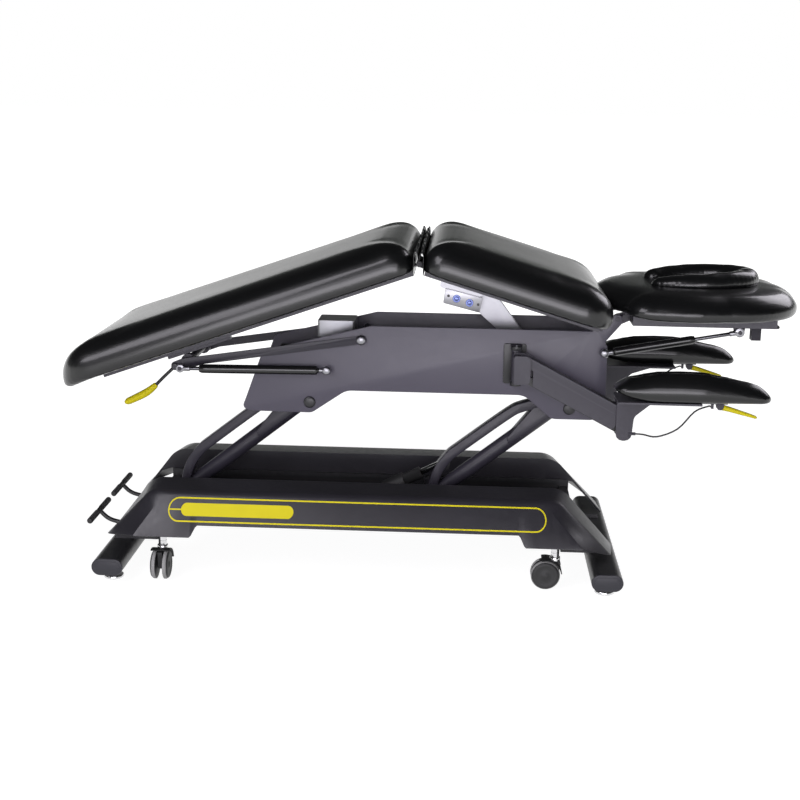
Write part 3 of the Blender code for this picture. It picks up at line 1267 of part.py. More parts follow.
swing_x = upper_x + SWING_X
knee = Vector((upper_x + LINK_X, 0, upper_z + LINK_Z))
slope = math.radians(LINK_SLOPE)
wrist = knee + LINK_LENGTH * Vector((math.cos(slope), 0, -math.sin(slope)))
drop = Vector((0, 0, -LINK_DROP))
link_turn = Matrix.Translation((0, -LINK_Y, 0)) @ along((knee.x, knee.z), (wrist.x, wrist.z))
ear_out = LINK_EAR_INNER + LINK_EAR
plate_in = side_outer - 0.001
mount_low = upper_z + MOUNT_Z0
mount_high = upper_z + MOUNT_Z1


def mount_solid():
    x0 = upper_x + MOUNT_X0
    x1 = upper_x + MOUNT_X1
    parts = [block(x0, x1, -plate_in - MOUNT_PLATE, -plate_in, mount_low, mount_high)]
    for low in (mount_low + 0.001, mount_high - MOUNT_EAR - 0.001):
        ear = rounded([(swing_x - 0.015, -plate_in - 0.002), (swing_x - 0.015, -SWING_Y - 0.015, 0.014),
                       (swing_x + 0.015, -SWING_Y - 0.015, 0.014), (swing_x + 0.015, -plate_in - 0.002)], 4)
        parts.append(slab(ear, low, low + MOUNT_EAR, "z"))
    spot = (swing_x, -SWING_Y)
    parts.append(rod((*spot, mount_low + 0.004), (*spot, mount_high - 0.004), SWING_PIN_R, 8))
    return welded(parts)


def knuckle_solid():
    spot = (swing_x, -SWING_Y)
    low = mount_low + 0.001 + MOUNT_EAR + GAP
    high = mount_high - MOUNT_EAR - 0.001 - GAP
    parts = [rod((*spot, low), (*spot, high), SWING_HUB_R, 12)]
    web_low = knee.z - LINK_DROP - 0.012
    web_high = knee.z + 0.008
    web_out = -LINK_Y - ear_out + 0.001
    parts.append(block(swing_x - 0.010, knee.x - 0.0155, web_out, -SWING_Y - 0.005, web_low, web_high))
    for side in (-1, 1):
        y0, y1 = sorted((-LINK_Y + side * LINK_EAR_INNER, -LINK_Y + side * ear_out))
        ear = rounded([(swing_x - 0.008, knee.z - LINK_DROP - LINK_EAR_R, 0.004),
                       (knee.x + LINK_EAR_R, knee.z - LINK_DROP - LINK_EAR_R, LINK_EAR_R),
                       (knee.x + LINK_EAR_R, knee.z + LINK_EAR_R, LINK_EAR_R),
                       (swing_x - 0.008, knee.z + LINK_EAR_R, 0.004)], 3)
        parts.append(slab(ear, y0, y1))
    for z in (knee.z, knee.z - LINK_DROP):
        pin = (-LINK_Y - ear_out + 0.001, -LINK_Y + ear_out - 0.001)
        parts.append(cross_rod(knee.x, z, *pin, LINK_PIN_R, 8))
    return welded(parts, [bore_hole((*spot, low - 0.01), (*spot, high + 0.01), SWING_PIN_R, 8)])


def upper_link_solid():
    top = CHANNEL_TOP
    end = LINK_LENGTH
    side_shape = rounded([(-0.012, -0.012, 0.011), (0.030, -0.014, 0.006), (0.048, -CHANNEL_DEPTH, 0.008),
                          (end - 0.006, -CHANNEL_DEPTH, 0.010), (end - 0.004, -0.012, 0.002),
                          (end + 0.012, -0.012, 0.010), (end + 0.012, top, 0.011), (-0.012, top, 0.011)], 3)
    parts = []
    for side in (-1, 1):
        y0, y1 = sorted((side * (CHANNEL_OUTER - CHANNEL_WALL), side * CHANNEL_OUTER))
        parts.append(slab(side_shape, y0, y1))
    half = CHANNEL_OUTER - 0.0005
    parts.append(block(0.016, end - 0.016, -half, half, top - CHANNEL_WALL, top - 0.0003))
    cuts = [cross_bore(s, 0, -0.05, 0.05, LINK_PIN_R, 8) for s in (0.0, end)]
    return moved(welded(parts, cuts), link_turn)


def lower_link_solid():
    bar = rounded([(-0.010, -0.010, 0.009), (LINK_LENGTH + 0.010, -0.010, 0.009),
                   (LINK_LENGTH + 0.010, 0.010, 0.009), (-0.010, 0.010, 0.009)], 3)
    cuts = [cross_bore(s, 0, -0.05, 0.05, LINK_PIN_R, 8) for s in (0.0, LINK_LENGTH)]
    solid = welded([slab(bar, -LOWER_LINK_HALF, LOWER_LINK_HALF)], cuts)
    return moved(solid, Matrix.Translation(drop) @ link_turn)


shelf_low = wrist.z + SHELF_RISE
shelf_high = shelf_low + SHELF_THICK
lever_x = wrist.x + PAD_LEVER_X
lever_z = shelf_low - PAD_LEVER_DROP
low_pin = wrist.z - LINK_DROP
gland_x = wrist.x + 0.030
stop_x = lever_x - 0.022


def bracket_solid():
    x0 = wrist.x - 0.026
    x1 = wrist.x + SHELF_REACH
    parts = [block(x0, x1, -PAD_Y - 0.04, -LINK_Y + ear_out, shelf_low, shelf_high)]
    parts.append(block(wrist.x + SHELF_REACH - 0.01, lever_x + 0.018, -PAD_Y - 0.012, -PAD_Y + 0.012,
                       shelf_low + 0.0002, shelf_high - 0.0002))
    for side in (-1, 1):
        y0, y1 = sorted((-LINK_Y + side * LINK_EAR_INNER, -LINK_Y + side * (ear_out - 0.0005)))
        cheek = rounded([(wrist.x - 0.021, low_pin - 0.019, 0.018), (wrist.x + 0.019, low_pin - 0.019, 0.018),
                         (wrist.x + 0.024, wrist.z - 0.004, 0.02), (wrist.x + 0.062, wrist.z + 0.028, 0.01),
                         (wrist.x + 0.115, shelf_low + 0.001), (wrist.x - 0.022, shelf_low + 0.001)], 3)
        parts.append(slab(cheek, y0, y1))
        y0, y1 = sorted((-PAD_Y + side * 0.006, -PAD_Y + side * 0.010))
        lug = rounded([(lever_x - 0.007, lever_z - 0.007, 0.006), (lever_x + 0.007, lever_z - 0.007, 0.006),
                       (lever_x + 0.010, shelf_low + 0.002), (lever_x - 0.010, shelf_low + 0.002)], 3)
        parts.append(slab(lug, y0, y1))
    parts.append(cross_rod(lever_x, lever_z, -PAD_Y - 0.009, -PAD_Y + 0.009, PAD_LEVER_PIN_R, 6))
    for z in (wrist.z, low_pin):
        pin = (-LINK_Y - ear_out + 0.001, -LINK_Y + ear_out - 0.001)
        parts.append(cross_rod(wrist.x, z, *pin, LINK_PIN_R, 8))
    gland_y = -LINK_Y - LINK_EAR_INNER - LINK_EAR / 2
    parts.append(rod((wrist.x + 0.012, gland_y, low_pin), (gland_x, gland_y, low_pin), 0.0042, 8))
    stop_low = lever_z - 0.005
    parts.append(block(stop_x, stop_x + 0.006, -PAD_Y - 0.005, -PAD_Y + 0.005, stop_low, shelf_low + 0.001))
    return welded(parts)


def pad_solid():
    x0 = wrist.x + PAD_START
    x1 = x0 + PAD_LENGTH
    waist = x0 + 0.55 * PAD_LENGTH
    plan = rounded([(x0, -PAD_HALF, 0.035), (waist, -PAD_HALF, 0.3), (x1, -PAD_HALF * 0.72, 0.034),
                    (x1, PAD_HALF * 0.72, 0.034), (waist, PAD_HALF, 0.3), (x0, PAD_HALF, 0.035)], 3)
    outer = [Vector(p) for p in plan]
    low = shelf_high + GAP
    rings = []
    sides = [(0.020, 0.0), (0.007, 0.08), (0.001, 0.28), (0.0, 0.45)]
    sides += [(0.004, 0.68), (0.014, 0.88), (0.024, 0.955)]
    for inset, height in sides:
        rings.append([(p.x, p.y - PAD_Y, low + height * PAD_THICK) for p in inward(outer, inset)])
    centre = Vector((x0 + 0.48 * PAD_LENGTH, 0.0))
    last = inward(outer, 0.024)
    rings.append([(*(centre + 0.6 * (p - centre) - Vector((0, PAD_Y))), low + PAD_THICK) for p in last])
    return loft(rings)


def lever_solid():
    tip = [(lever_x + 0.004, lever_z - 0.001), (lever_x + 0.025, lever_z - 0.006),
           (lever_x + 0.050, lever_z - 0.013), (lever_x + 0.075, lever_z - 0.020),
           (lever_x + 0.095, lever_z - 0.026)]
    points = along_curve([(x, -PAD_Y, z) for x, z in tip], 8)
    radii = [0.0045, 0.005, 0.0058, 0.0066, 0.007, 0.007, 0.0068, 0.004]
    parts = [cross_rod(lever_x, lever_z, -PAD_Y - 0.0057, -PAD_Y + 0.0057, 0.0062, 8), pipe(points, radii, 6)]
    return welded(parts, [cross_bore(lever_x, lever_z, -PAD_Y - 0.02, -PAD_Y + 0.02, PAD_LEVER_PIN_R, 6)])


def cable(name, side):
    start_y = LINK_Y + LINK_EAR_INNER + LINK_EAR / 2
    route = [(gland_x + CABLE_R / 3, start_y, low_pin), (gland_x + 0.020, start_y + 0.001, low_pin - 0.001),
             (wrist.x + 0.085, start_y + 0.008, low_pin - 0.004),
             (wrist.x + 0.135, start_y + 0.016, low_pin + 0.020),
             (stop_x - 0.040, PAD_Y - 0.004, lever_z - 0.016), (stop_x - 0.008, PAD_Y, lever_z),
             (stop_x - CABLE_R / 2, PAD_Y, lever_z)]
    curve = bpy.data.curves.new(name, "CURVE")
    curve.dimensions = "3D"
    curve.bevel_depth = CABLE_R
    curve.bevel_resolution = 2
    curve.use_fill_caps = True
    points = along_curve(route, 13)
    spline = curve.splines.new("POLY")
    spline.points.add(len(points) - 1)
    origin = Vector(points[0])
    for spot, point in zip(spline.points, points):
        offset = Vector(point) - origin
        spot.co = (offset.x, side * offset.y, offset.z, 1.0)
    curve.materials.append(finish(name, BLACK, 0.4))
    made = bpy.data.objects.new(name, curve)
    bpy.context.scene.collection.objects.link(made)
    made.parent = root
    made.location = (origin.x, side * origin.y, origin.z)
    length = sum((b - a).length for a, b in zip(points, points[1:]))
    print(name, "length", round(length, 4))


shaft_holes = [(upper_x, upper_z, PIN_R), (upper_x + ARM_SPACING, upper_z, PIN_R)]
for place in (arm_bearing, mid_hinge, head_hinge):
    shaft_holes.append((*place, SMALL_PIN_R))
for side, name in ((-1, "chassis_side_near"), (1, "chassis_side_far")):
    y0, y1 = sorted((side * SIDE_INNER, side * side_outer))
    parts = [slab(side_outline, y0, y1)]
    parts.append(mount_solid() if side < 0 else mirrored(mount_solid()))
    if side < 0:
        for x, z in (strut_foot, head_strut_foot):
            length = strut_out + GAP - SIDE_INNER - 0.001
            profile = [(SMALL_PIN_R, 0.0), (SMALL_PIN_R, length), (SMALL_HEAD_R, length)]
            profile.append((SMALL_HEAD_R - 0.004, length + 0.004))
            parts.append(turned(profile, (x, -SIDE_INNER - 0.001, z), (0, -1, 0), 10))
    holes = [cross_bore(x, z, y0 - 0.01, y1 + 0.01, radius) for x, z, radius in shaft_holes]
    node(name, finish(name, CHARCOAL, 0.38), [welded(parts, holes)], (upper_x, side * side_outer, upper_z))
for side, label in ((-1, "near"), (1, "far")):
    pieces = (("armrest_knuckle_", knuckle_solid, CHARCOAL, 0.35, (swing_x, SWING_Y, knee.z)),
              ("armrest_upper_link_", upper_link_solid, CHARCOAL, 0.35, (knee.x, LINK_Y, knee.z)),
              ("armrest_lower_link_", lower_link_solid, BLACK, 0.4, (knee.x, LINK_Y, knee.z - LINK_DROP)),
              ("armrest_bracket_", bracket_solid, CHARCOAL, 0.35, (wrist.x, LINK_Y, wrist.z)),
              ("armrest_pad_", pad_solid, BLACK, 0.35, (wrist.x, LINK_Y, wrist.z)),
              ("armrest_lever_", lever_solid, YELLOW, 0.4, (lever_x, PAD_Y, lever_z)))
    for prefix, make, colour, roughness, pivot in pieces:
        name = prefix + label
        solid = make() if side < 0 else mirrored(make())
        angle = 60.0 if "pad" in name else 35.0
        node(name, finish(name, colour, roughness), [solid], (pivot[0], side * pivot[1], pivot[2]), angle)
    cable("armrest_cable_" + label, side)


# The part's origin lies under the middle of its box.

bpy.context.view_layer.update()
low_x = 1e9
high_x = -1e9
for piece in root.children:
    for corner in piece.bound_box:
        x = (piece.matrix_world @ Vector(corner)).x
        low_x = min(low_x, x)
        high_x = max(high_x, x)
root.location.x = -(low_x + high_x) / 2
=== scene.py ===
import json
import math

import bmesh
import bpy
from mathutils import Matrix, Vector, noise

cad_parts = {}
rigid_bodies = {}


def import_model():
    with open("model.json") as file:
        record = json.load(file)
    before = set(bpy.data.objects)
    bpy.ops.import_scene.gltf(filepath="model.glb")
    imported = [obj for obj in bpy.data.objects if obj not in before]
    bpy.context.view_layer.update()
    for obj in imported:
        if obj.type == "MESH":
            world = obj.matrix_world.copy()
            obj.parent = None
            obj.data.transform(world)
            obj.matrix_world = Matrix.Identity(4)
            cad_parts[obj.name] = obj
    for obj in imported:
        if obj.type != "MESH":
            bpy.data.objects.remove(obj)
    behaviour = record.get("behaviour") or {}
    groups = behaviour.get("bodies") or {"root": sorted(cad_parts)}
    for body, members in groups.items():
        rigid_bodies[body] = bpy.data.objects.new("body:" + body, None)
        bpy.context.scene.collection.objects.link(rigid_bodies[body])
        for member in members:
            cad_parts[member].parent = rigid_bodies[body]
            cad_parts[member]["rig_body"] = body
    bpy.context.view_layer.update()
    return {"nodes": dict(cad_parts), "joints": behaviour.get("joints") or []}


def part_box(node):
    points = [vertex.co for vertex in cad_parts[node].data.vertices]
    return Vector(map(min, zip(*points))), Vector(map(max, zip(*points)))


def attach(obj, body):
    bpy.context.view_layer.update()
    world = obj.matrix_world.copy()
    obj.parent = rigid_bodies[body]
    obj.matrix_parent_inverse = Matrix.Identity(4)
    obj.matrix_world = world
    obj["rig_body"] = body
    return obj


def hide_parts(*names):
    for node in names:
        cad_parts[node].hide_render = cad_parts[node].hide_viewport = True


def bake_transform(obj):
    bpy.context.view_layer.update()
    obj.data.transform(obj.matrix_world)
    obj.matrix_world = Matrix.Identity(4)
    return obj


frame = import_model()
jointAt = {joint["name"]: Vector(joint["pos_m"]) for joint in frame["joints"] if "pos_m" in joint}
print("frame loaded:", len(frame["nodes"]), "nodes")

bothSides = (("near", -1), ("far", 1))
bothEnds = (("leg", -1), ("head", 1))

# The pieces are placed in the table's own x, which starts between the two foot beams.
footSpan = 0.65
beamHalf = 0.041
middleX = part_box("foot_beam_leg_end")[0].x + beamHalf + footSpan


def at(x, y, z):
    return Vector((x + middleX, y, z))


def show(name, data):
    made = bpy.data.objects.new(name, data)
    bpy.context.scene.collection.objects.link(made)
    return made


# Camera

cameraLook = {"lens": 61.61, "yaw": -2.731, "pitch": 12.998, "roll": 0.913,
              "stand": (0.2686, -3.6899, 1.2912)}


def makeCamera(look):
    yaw, pitch, roll = (math.radians(look[key]) for key in ("yaw", "pitch", "roll"))
    ahead = Vector((math.sin(yaw) * math.cos(pitch), math.cos(yaw) * math.cos(pitch), -math.sin(pitch)))
    right = Vector((math.cos(yaw), -math.sin(yaw), 0.0))
    up = right.cross(ahead)
    across = math.cos(roll) * right + math.sin(roll) * up
    upright = -math.sin(roll) * right + math.cos(roll) * up
    data = bpy.data.cameras.new("camera")
    data.sensor_width = 36.0
    data.lens = look["lens"]
    data.clip_end = 200.0
    camera = show("camera", data)
    turn = Matrix((across, upright, -ahead)).transposed().to_4x4()
    camera.matrix_world = Matrix.Translation(at(*look["stand"])) @ turn
    bpy.context.scene.camera = camera


makeCamera(cameraLook)


# Shader maths

class Wire:
    def __init__(self, tree, socket=None):
        self.tree = tree
        self.socket = socket

    def add(self, kind, settings=None, sockets=None, out=0):
        node = self.tree.nodes.new("ShaderNode" + kind)
        for key, value in (settings or {}).items():
            if key == "stops":
                ramp = node.color_ramp
                while len(ramp.elements) < len(value):
                    ramp.elements.new(0.5)
                for element, (place, colour) in zip(ramp.elements, value):
                    element.position = place
                    element.color = (*colour, 1.0)
            else:
                setattr(node, key, value)
        for key, value in (sockets or {}).items():
            if isinstance(value, Wire):
                self.tree.links.new(value.socket, node.inputs[key])
            else:
                node.inputs[key].default_value = value
        return Wire(self.tree, node.outputs[out])

    def maths(self, operation, first, second):
        return self.add("Math", {"operation": operation}, {0: first, 1: second})

    def __add__(self, other):
        return self.maths("ADD", self, other)

    def __radd__(self, other):
        return self.maths("ADD", other, self)

    def __sub__(self, other):
        return self.maths("SUBTRACT", self, other)

    def __mul__(self, other):
        return self.maths("MULTIPLY", self, other)

    def larger(self, other):
        return self.maths("MAXIMUM", self, other)

    def speckle(self, place, scale, detail):
        return self.add("TexNoise", None, {"Vector": place, "Scale": scale, "Detail": detail})

    def relief(self, strength, distance, height, **more):
        return self.add("Bump", None, {"Strength": strength, "Distance": distance, "Height": height, **more})


def blank(name):
    material = bpy.data.materials.new(name)
    material.use_nodes = True
    shader = material.node_tree.nodes["Principled BSDF"]
    return material, Wire(material.node_tree), shader


def feed(shader, **links):
    # A wire is linked, and a plain value is set on the shader's own socket.
    for key, value in links.items():
        socket = shader.inputs[key.replace("_", " ")]
        if isinstance(value, Wire):
            value.tree.links.new(value.socket, socket)
        else:
            socket.default_value = (*value, 1.0) if isinstance(value, tuple) else value


def blendColour(wire, share, first, second):
    sockets = {0: share, 6: (*first, 1.0) if isinstance(first, tuple) else first}
    sockets[7] = (*second, 1.0) if isinstance(second, tuple) else second
    return wire.add("Mix", {"data_type": "RGBA"}, sockets, 2)


# Finishes

def powderPaint(name, look):
    # Powder coat: fine pebble, faint cloudiness, a little wear on the rounded edges.
    material, wire, shader = blank(name)
    place = wire.add("TexCoord", out="Object")
    pebble = wire.speckle(place, look["pebble"], 2.0)
    cloud = wire.speckle(place, 9.0, 3.0)
    fine = wire.speckle(place, 70.0, 4.0)
    worn = wire.add("NewGeometry", out="Pointiness")
    edge = (worn - look["wearFrom"]) * 9.0
    edge = wire.add("Clamp", None, {"Value": edge * fine})
    colour = blendColour(wire, cloud, look["dark"], look["light"])
    colour = blendColour(wire, edge, colour, look["worn"])
    rounded = wire.add("Bevel", {"samples": 4}, {"Radius": look["edge"]})
    bump = wire.relief(look["bump"], 0.0004, pebble, Normal=rounded)
    feed(shader, Base_Color=colour, Roughness=look["rough"] + (fine - 0.5) * 0.16, Normal=bump)
    shader.inputs["Specular IOR Level"].default_value = look["gloss"]
    return material


def coatedVinyl(name, look):
    # Upholstery vinyl: close leather grain over soft unevenness.
    material, wire, shader = blank(name)
    place = wire.add("TexCoord", out="Object")
    grain = wire.add("TexVoronoi", {"feature": "DISTANCE_TO_EDGE"}, {"Vector": place, "Scale": look["grain"]})
    pores = wire.speckle(place, look["grain"] * 2.2, 3.0)
    cloud = wire.speckle(place, 5.0, 3.0)
    height = wire.add("Clamp", None, {"Value": grain * 3.0}) + pores * 0.4
    bump = wire.relief(look["bump"], 0.0003, height)
    colour = blendColour(wire, cloud, look["dark"], look["light"])
    rough = look["rough"] + (cloud - 0.5) * 0.12 + (pores - 0.5) * 0.08
    feed(shader, Base_Color=colour, Roughness=rough, Normal=bump)
    shader.inputs["Specular IOR Level"].default_value = look["gloss"]
    shader.inputs["Coat Weight"].default_value = look["coat"]
    shader.inputs["Coat Roughness"].default_value = look["coatRough"]
    return material


def mouldedPlastic(name, look):
    material, wire, shader = blank(name)
    place = wire.add("TexCoord", out="Object")
    grain = wire.speckle(place, look["grain"], 3.0)
    cloud = wire.speckle(place, 18.0, 3.0)
    colour = blendColour(wire, cloud, look["dark"], look["light"])
    bump = wire.relief(look["bump"], 0.0003, grain)
    feed(shader, Base_Color=colour, Roughness=look["rough"] + (cloud - 0.5) * 0.2, Normal=bump)
    shader.inputs["Specular IOR Level"].default_value = look.get("gloss", 0.5)
    return material


def brightMetal(name, look):
    # Plated or zinc steel: drawn lines along one axis and slight staining.
    material, wire, shader = blank(name)
    place = wire.add("TexCoord", out="Object")
    drawn = wire.add("Mapping", None, {"Vector": place, "Scale": look["lines"]})
    lines = wire.speckle(drawn, 60.0, 4.0)
    stain = wire.speckle(place, 25.0, 4.0)
    colour = blendColour(wire, stain, look["dark"], look["light"])
    bump = wire.relief(look["bump"], 0.0002, lines)
    rough = look["rough"] + (lines - 0.5) * 0.2 + (stain - 0.5) * 0.1
    feed(shader, Base_Color=colour, Roughness=rough, Normal=bump)
    shader.inputs["Metallic"].default_value = 1.0
    return material


# The chassis paint below is a lighter copy of the charcoal paint: painted light from the front lamps on the
# chassis plates. The charcoal paint keeps the darker tone.
litChassisLook = {"dark": (0.062, 0.057, 0.079), "light": (0.076, 0.070, 0.095), "worn": (0.15, 0.145, 0.165),
               "rough": 0.40, "gloss": 0.5, "pebble": 1500.0, "bump": 0.10, "edge": 0.0012, "wearFrom": 0.55}
charcoalLook = {**litChassisLook, "dark": (0.025, 0.023, 0.032), "light": (0.033, 0.030, 0.042),
                "worn": (0.07, 0.067, 0.08), "gloss": 0.42}
coverPaint = {"dark": (0.019, 0.018, 0.022), "light": (0.027, 0.026, 0.032), "worn": (0.06, 0.058, 0.065),
              "rough": 0.34, "gloss": 0.55, "pebble": 1100.0, "bump": 0.10, "edge": 0.0012, "wearFrom": 0.56}
blackLook = {"dark": (0.011, 0.011, 0.012), "light": (0.017, 0.017, 0.019), "worn": (0.05, 0.05, 0.055),
             "rough": 0.36, "gloss": 0.5, "pebble": 1500.0, "bump": 0.08, "edge": 0.0010, "wearFrom": 0.56}
vinylLook = {"dark": (0.0035, 0.0038, 0.004), "light": (0.006, 0.0063, 0.0066), "rough": 0.33, "gloss": 0.34,
             "grain": 620.0, "bump": 0.06, "coat": 0.45, "coatRough": 0.13}
yellowLook = {"dark": (0.65, 0.565, 0.008), "light": (0.73, 0.64, 0.012), "rough": 0.5, "gloss": 0.22,
              "grain": 900.0, "bump": 0.06}
rubberLook = {"dark": (0.010, 0.010, 0.010), "light": (0.018, 0.018, 0.019), "rough": 0.55, "grain": 700.0,
              "bump": 0.15}
treadLook = {"dark": (0.24, 0.24, 0.24), "light": (0.32, 0.32, 0.31), "rough": 0.6, "grain": 600.0,
             "bump": 0.12}
capLook = {"dark": (0.016, 0.016, 0.022), "light": (0.024, 0.024, 0.032), "rough": 0.5, "grain": 800.0,
           "bump": 0.12}
chromeLook = {"dark": (0.66, 0.66, 0.67), "light": (0.80, 0.80, 0.81), "rough": 0.16, "bump": 0.02,
              "lines": (1.0, 1.0, 8.0)}
zincLook = {"dark": (0.25, 0.25, 0.27), "light": (0.36, 0.36, 0.38), "rough": 0.34, "bump": 0.06,
            "lines": (1.0, 12.0, 12.0)}
gunLook = {"dark": (0.10, 0.10, 0.11), "light": (0.16, 0.16, 0.17), "rough": 0.28, "bump": 0.04,
           "lines": (1.0, 8.0, 8.0)}
boltLook = {"dark": (0.07, 0.09, 0.24), "light": (0.16, 0.19, 0.36), "rough": 0.26, "bump": 0.03,
            "lines": (6.0, 1.0, 6.0)}
strutLook = {"dark": (0.006, 0.006, 0.006), "light": (0.010, 0.010, 0.011), "worn": (0.03, 0.03, 0.03),
             "rough": 0.20, "gloss": 0.6, "pebble": 900.0, "bump": 0.03, "edge": 0.0008, "wearFrom": 0.6}

# Lit copy of the charcoal paint for the chassis plates: painted front light.
litChassisPaint = powderPaint("chassis_powder_coat_lit", litChassisLook)
charcoal = powderPaint("charcoal_powder_coat", charcoalLook)
coverBlack = powderPaint("cover_plastic", coverPaint)
black = powderPaint("black_powder_coat", blackLook)
strutBlack = powderPaint("gas_spring_black", strutLook)
vinyl = coatedVinyl("black_upholstery_vinyl", vinylLook)
yellow = mouldedPlastic("yellow_plastic", yellowLook)
rubber = mouldedPlastic("black_moulded_plastic", rubberLook)
tread = mouldedPlastic("grey_tread", treadLook)
capGrey = mouldedPlastic("dark_end_cap", capLook)
chrome = brightMetal("bright_chrome", chromeLook)
zinc = brightMetal("zinc_plate", zincLook)
gunMetal = brightMetal("dark_rod_steel", gunLook)
boltBlue = brightMetal("blue_passivated_bolt", boltLook)
print("finishes made")


# Outlines and solids

def roundedLine(corners, steps=10):
    # Each corner is x, z and an optional fillet radius.
    points = []
    for i, corner in enumerate(corners):
        here = Vector(corner[:2])
        radius = corner[2] if len(corner) > 2 else 0.0
        before = Vector(corners[i - 1][:2]) - here
        after = Vector(corners[(i + 1) % len(corners)][:2]) - here
        if radius <= 0.0:
            points.append(here)
            continue
        half = before.angle(after) / 2
        reach = min(radius / math.tan(half), 0.48 * before.length, 0.48 * after.length)
        radius = reach * math.tan(half)
        middle = here + (before.normalized() + after.normalized()).normalized() * radius / math.sin(half)
        first = here + before.normalized() * reach - middle
        last = here + after.normalized() * reach - middle
        sweep = first.angle_signed(last)
        for k in range(steps + 1):
            points.append(middle + Matrix.Rotation(-sweep * k / steps, 2) @ first)
    return points


def boxLine(x0, x1, half, startRound, endRound, steps):
    return roundedLine([(x0, -half, startRound), (x1, -half, endRound), (x1, half, endRound),
                        (x0, half, startRound)], steps)


def stadiumLine(centre, width, height, steps=16):
    radius = height / 2
    points = []
    for side, turn in ((1, -math.pi / 2), (-1, math.pi / 2)):
        for k in range(steps + 1):
            angle = turn + math.pi * k / steps
            x = centre[0] + side * (width / 2 - radius) + radius * math.cos(angle)
            points.append(Vector((x, centre[1] + radius * math.sin(angle))))
    return points


def insetLine(points, inset):
    # Moves a closed outline square to itself, towards its inside.
    count = len(points)
    area = sum(points[i - 1].x * points[i].y - points[i].x * points[i - 1].y for i in range(count))
    result = []
    for i in range(count):
        one = (points[i] - points[i - 1]).normalized()
        two = (points[(i + 1) % count] - points[i]).normalized()
        along = (one + two).normalized()
        inward = Vector((-along.y, along.x)) * (1 if area > 0 else -1)
        result.append(points[i] + inward * inset / max(along.dot(two), 0.5))
    return result


def within(share):
    return min(max(share, 0.0), 1.0)


def ease(share):
    share = within(share)
    return share * share * (3 - 2 * share)


def smoothLine(points, count):
    line = [Vector(p) for p in points]
    line = [2 * line[0] - line[1]] + line + [2 * line[-1] - line[-2]]
    spans = len(line) - 3
    result = []
    for i in range(count):
        place = spans * i / (count - 1)
        k = min(int(place), spans - 1)
        t = place - k
        a, b, c, d = line[k:k + 4]
        bend = (2 * a - 5 * b + 4 * c - d) * t * t
        result.append((2 * b + (c - a) * t + bend + (3 * b - a - 3 * c + d) * t ** 3) / 2)
    return result


def loft(rings, ringShaped=False):
    solid = bmesh.new()
    rows = [[solid.verts.new(point) for point in ring] for ring in rings]
    pairs = list(zip(rows, rows[1:]))
    if ringShaped:
        pairs.append((rows[-1], rows[0]))
    count = len(rows[0])
    for low, high in pairs:
        for i in range(count):
            k = (i + 1) % count
            solid.faces.new((low[i], low[k], high[k], high[i]))
    if not ringShaped:
        solid.faces.new(rows[0][::-1])
        solid.faces.new(rows[-1])
    bmesh.ops.recalc_face_normals(solid, faces=solid.faces)
    return solid


def lay(points, place, axis="y"):
    if axis == "y":
        return [at(p[0], place, p[1]) for p in points]
    return [at(p[0], p[1], place) for p in points]


def plate(points, low, high, edge=0.001, axis="y"):
    # A flat plate with softly rounded edges. Its two faces come in either order.
    low, high = sorted((low, high))
    edge = min(edge, 0.45 * (high - low))
    rings = []
    for inset, rise in ((1.0, 0.0), (0.3, 0.3), (0.0, 1.0)):
        rings.append(lay(insetLine(points, inset * edge), low + rise * edge, axis))
    for inset, rise in ((0.0, 1.0), (0.3, 0.3), (1.0, 0.0)):
        rings.append(lay(insetLine(points, inset * edge), high - rise * edge, axis))
    return loft(rings)


def sideFrame(direction):
    forward = Vector(direction).normalized()
    side = forward.orthogonal().normalized()
    return forward, side, forward.cross(side)


def circle(count):
    return [(math.cos(2 * math.pi * k / count), math.sin(2 * math.pi * k / count)) for k in range(count)]


def turned(profile, start, direction, count=40):
    # Profile points are radius and distance along the direction.
    forward, side, lift = sideFrame(direction)
    rings = []
    for radius, far in profile:
        middle = Vector(start) + forward * far
        rings.append([middle + radius * (c * side + s * lift) for c, s in circle(count)])
    return loft(rings)


def softRod(start, end, radius, edge=0.001, count=32):
    length = (Vector(end) - Vector(start)).length
    profile = [(radius - edge, 0.0), (radius - 0.3 * edge, 0.3 * edge), (radius, edge)]
    profile += [(r, length - far) for r, far in profile[::-1]]
    return turned(profile, start, Vector(end) - Vector(start), count)


def pinAcross(middle, half, radius, edge=0.001, count=24):
    across = Vector((0, half, 0))
    return softRod(middle - across, middle + across, radius, edge, count)


def tube(points, radii, count=16):
    line = [Vector(p) for p in points]
    if not isinstance(radii, (list, tuple)):
        radii = [radii] * len(line)
    forward, side, lift = sideFrame(line[1] - line[0])
    rings = []
    for i, here in enumerate(line):
        along = (line[min(i + 1, len(line) - 1)] - line[max(i - 1, 0)]).normalized()
        side = (side - along * side.dot(along)).normalized()
        lift = along.cross(side)
        rings.append([here + radii[i] * (c * side + s * lift) for c, s in circle(count)])
    return loft(rings)


def piece(name, solids, material, body, nodes=(), smooth=40.0):
    # Joins the solids into one object that rides on a body and stands for the nodes.
    shape = bmesh.new()
    for solid in solids:
        part = bpy.data.meshes.new("part")
        solid.to_mesh(part)
        solid.free()
        shape.from_mesh(part)
        bpy.data.meshes.remove(part)
    mesh = bpy.data.meshes.new(name)
    shape.to_mesh(mesh)
    shape.free()
    mesh.shade_smooth()
    mesh.set_sharp_from_angle(angle=math.radians(smooth))
    mesh.materials.append(material)
    made = show(name, mesh)
    if nodes:
        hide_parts(*nodes)
    if body:
        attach(made, body)
    return made


def dress(node, material, slot, smooth=38.0):
    # The node's own shape, welded and smooth on its round faces.
    shape = bmesh.new()
    shape.from_mesh(frame["nodes"][node].data)
    bmesh.ops.remove_doubles(shape, verts=shape.verts, dist=0.00002)
    bmesh.ops.dissolve_limit(shape, angle_limit=0.004, verts=shape.verts, edges=shape.edges)
    return piece(node + "_dressed", [shape], material, frame["nodes"][node]["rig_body"], [node], smooth)


# Stage and light

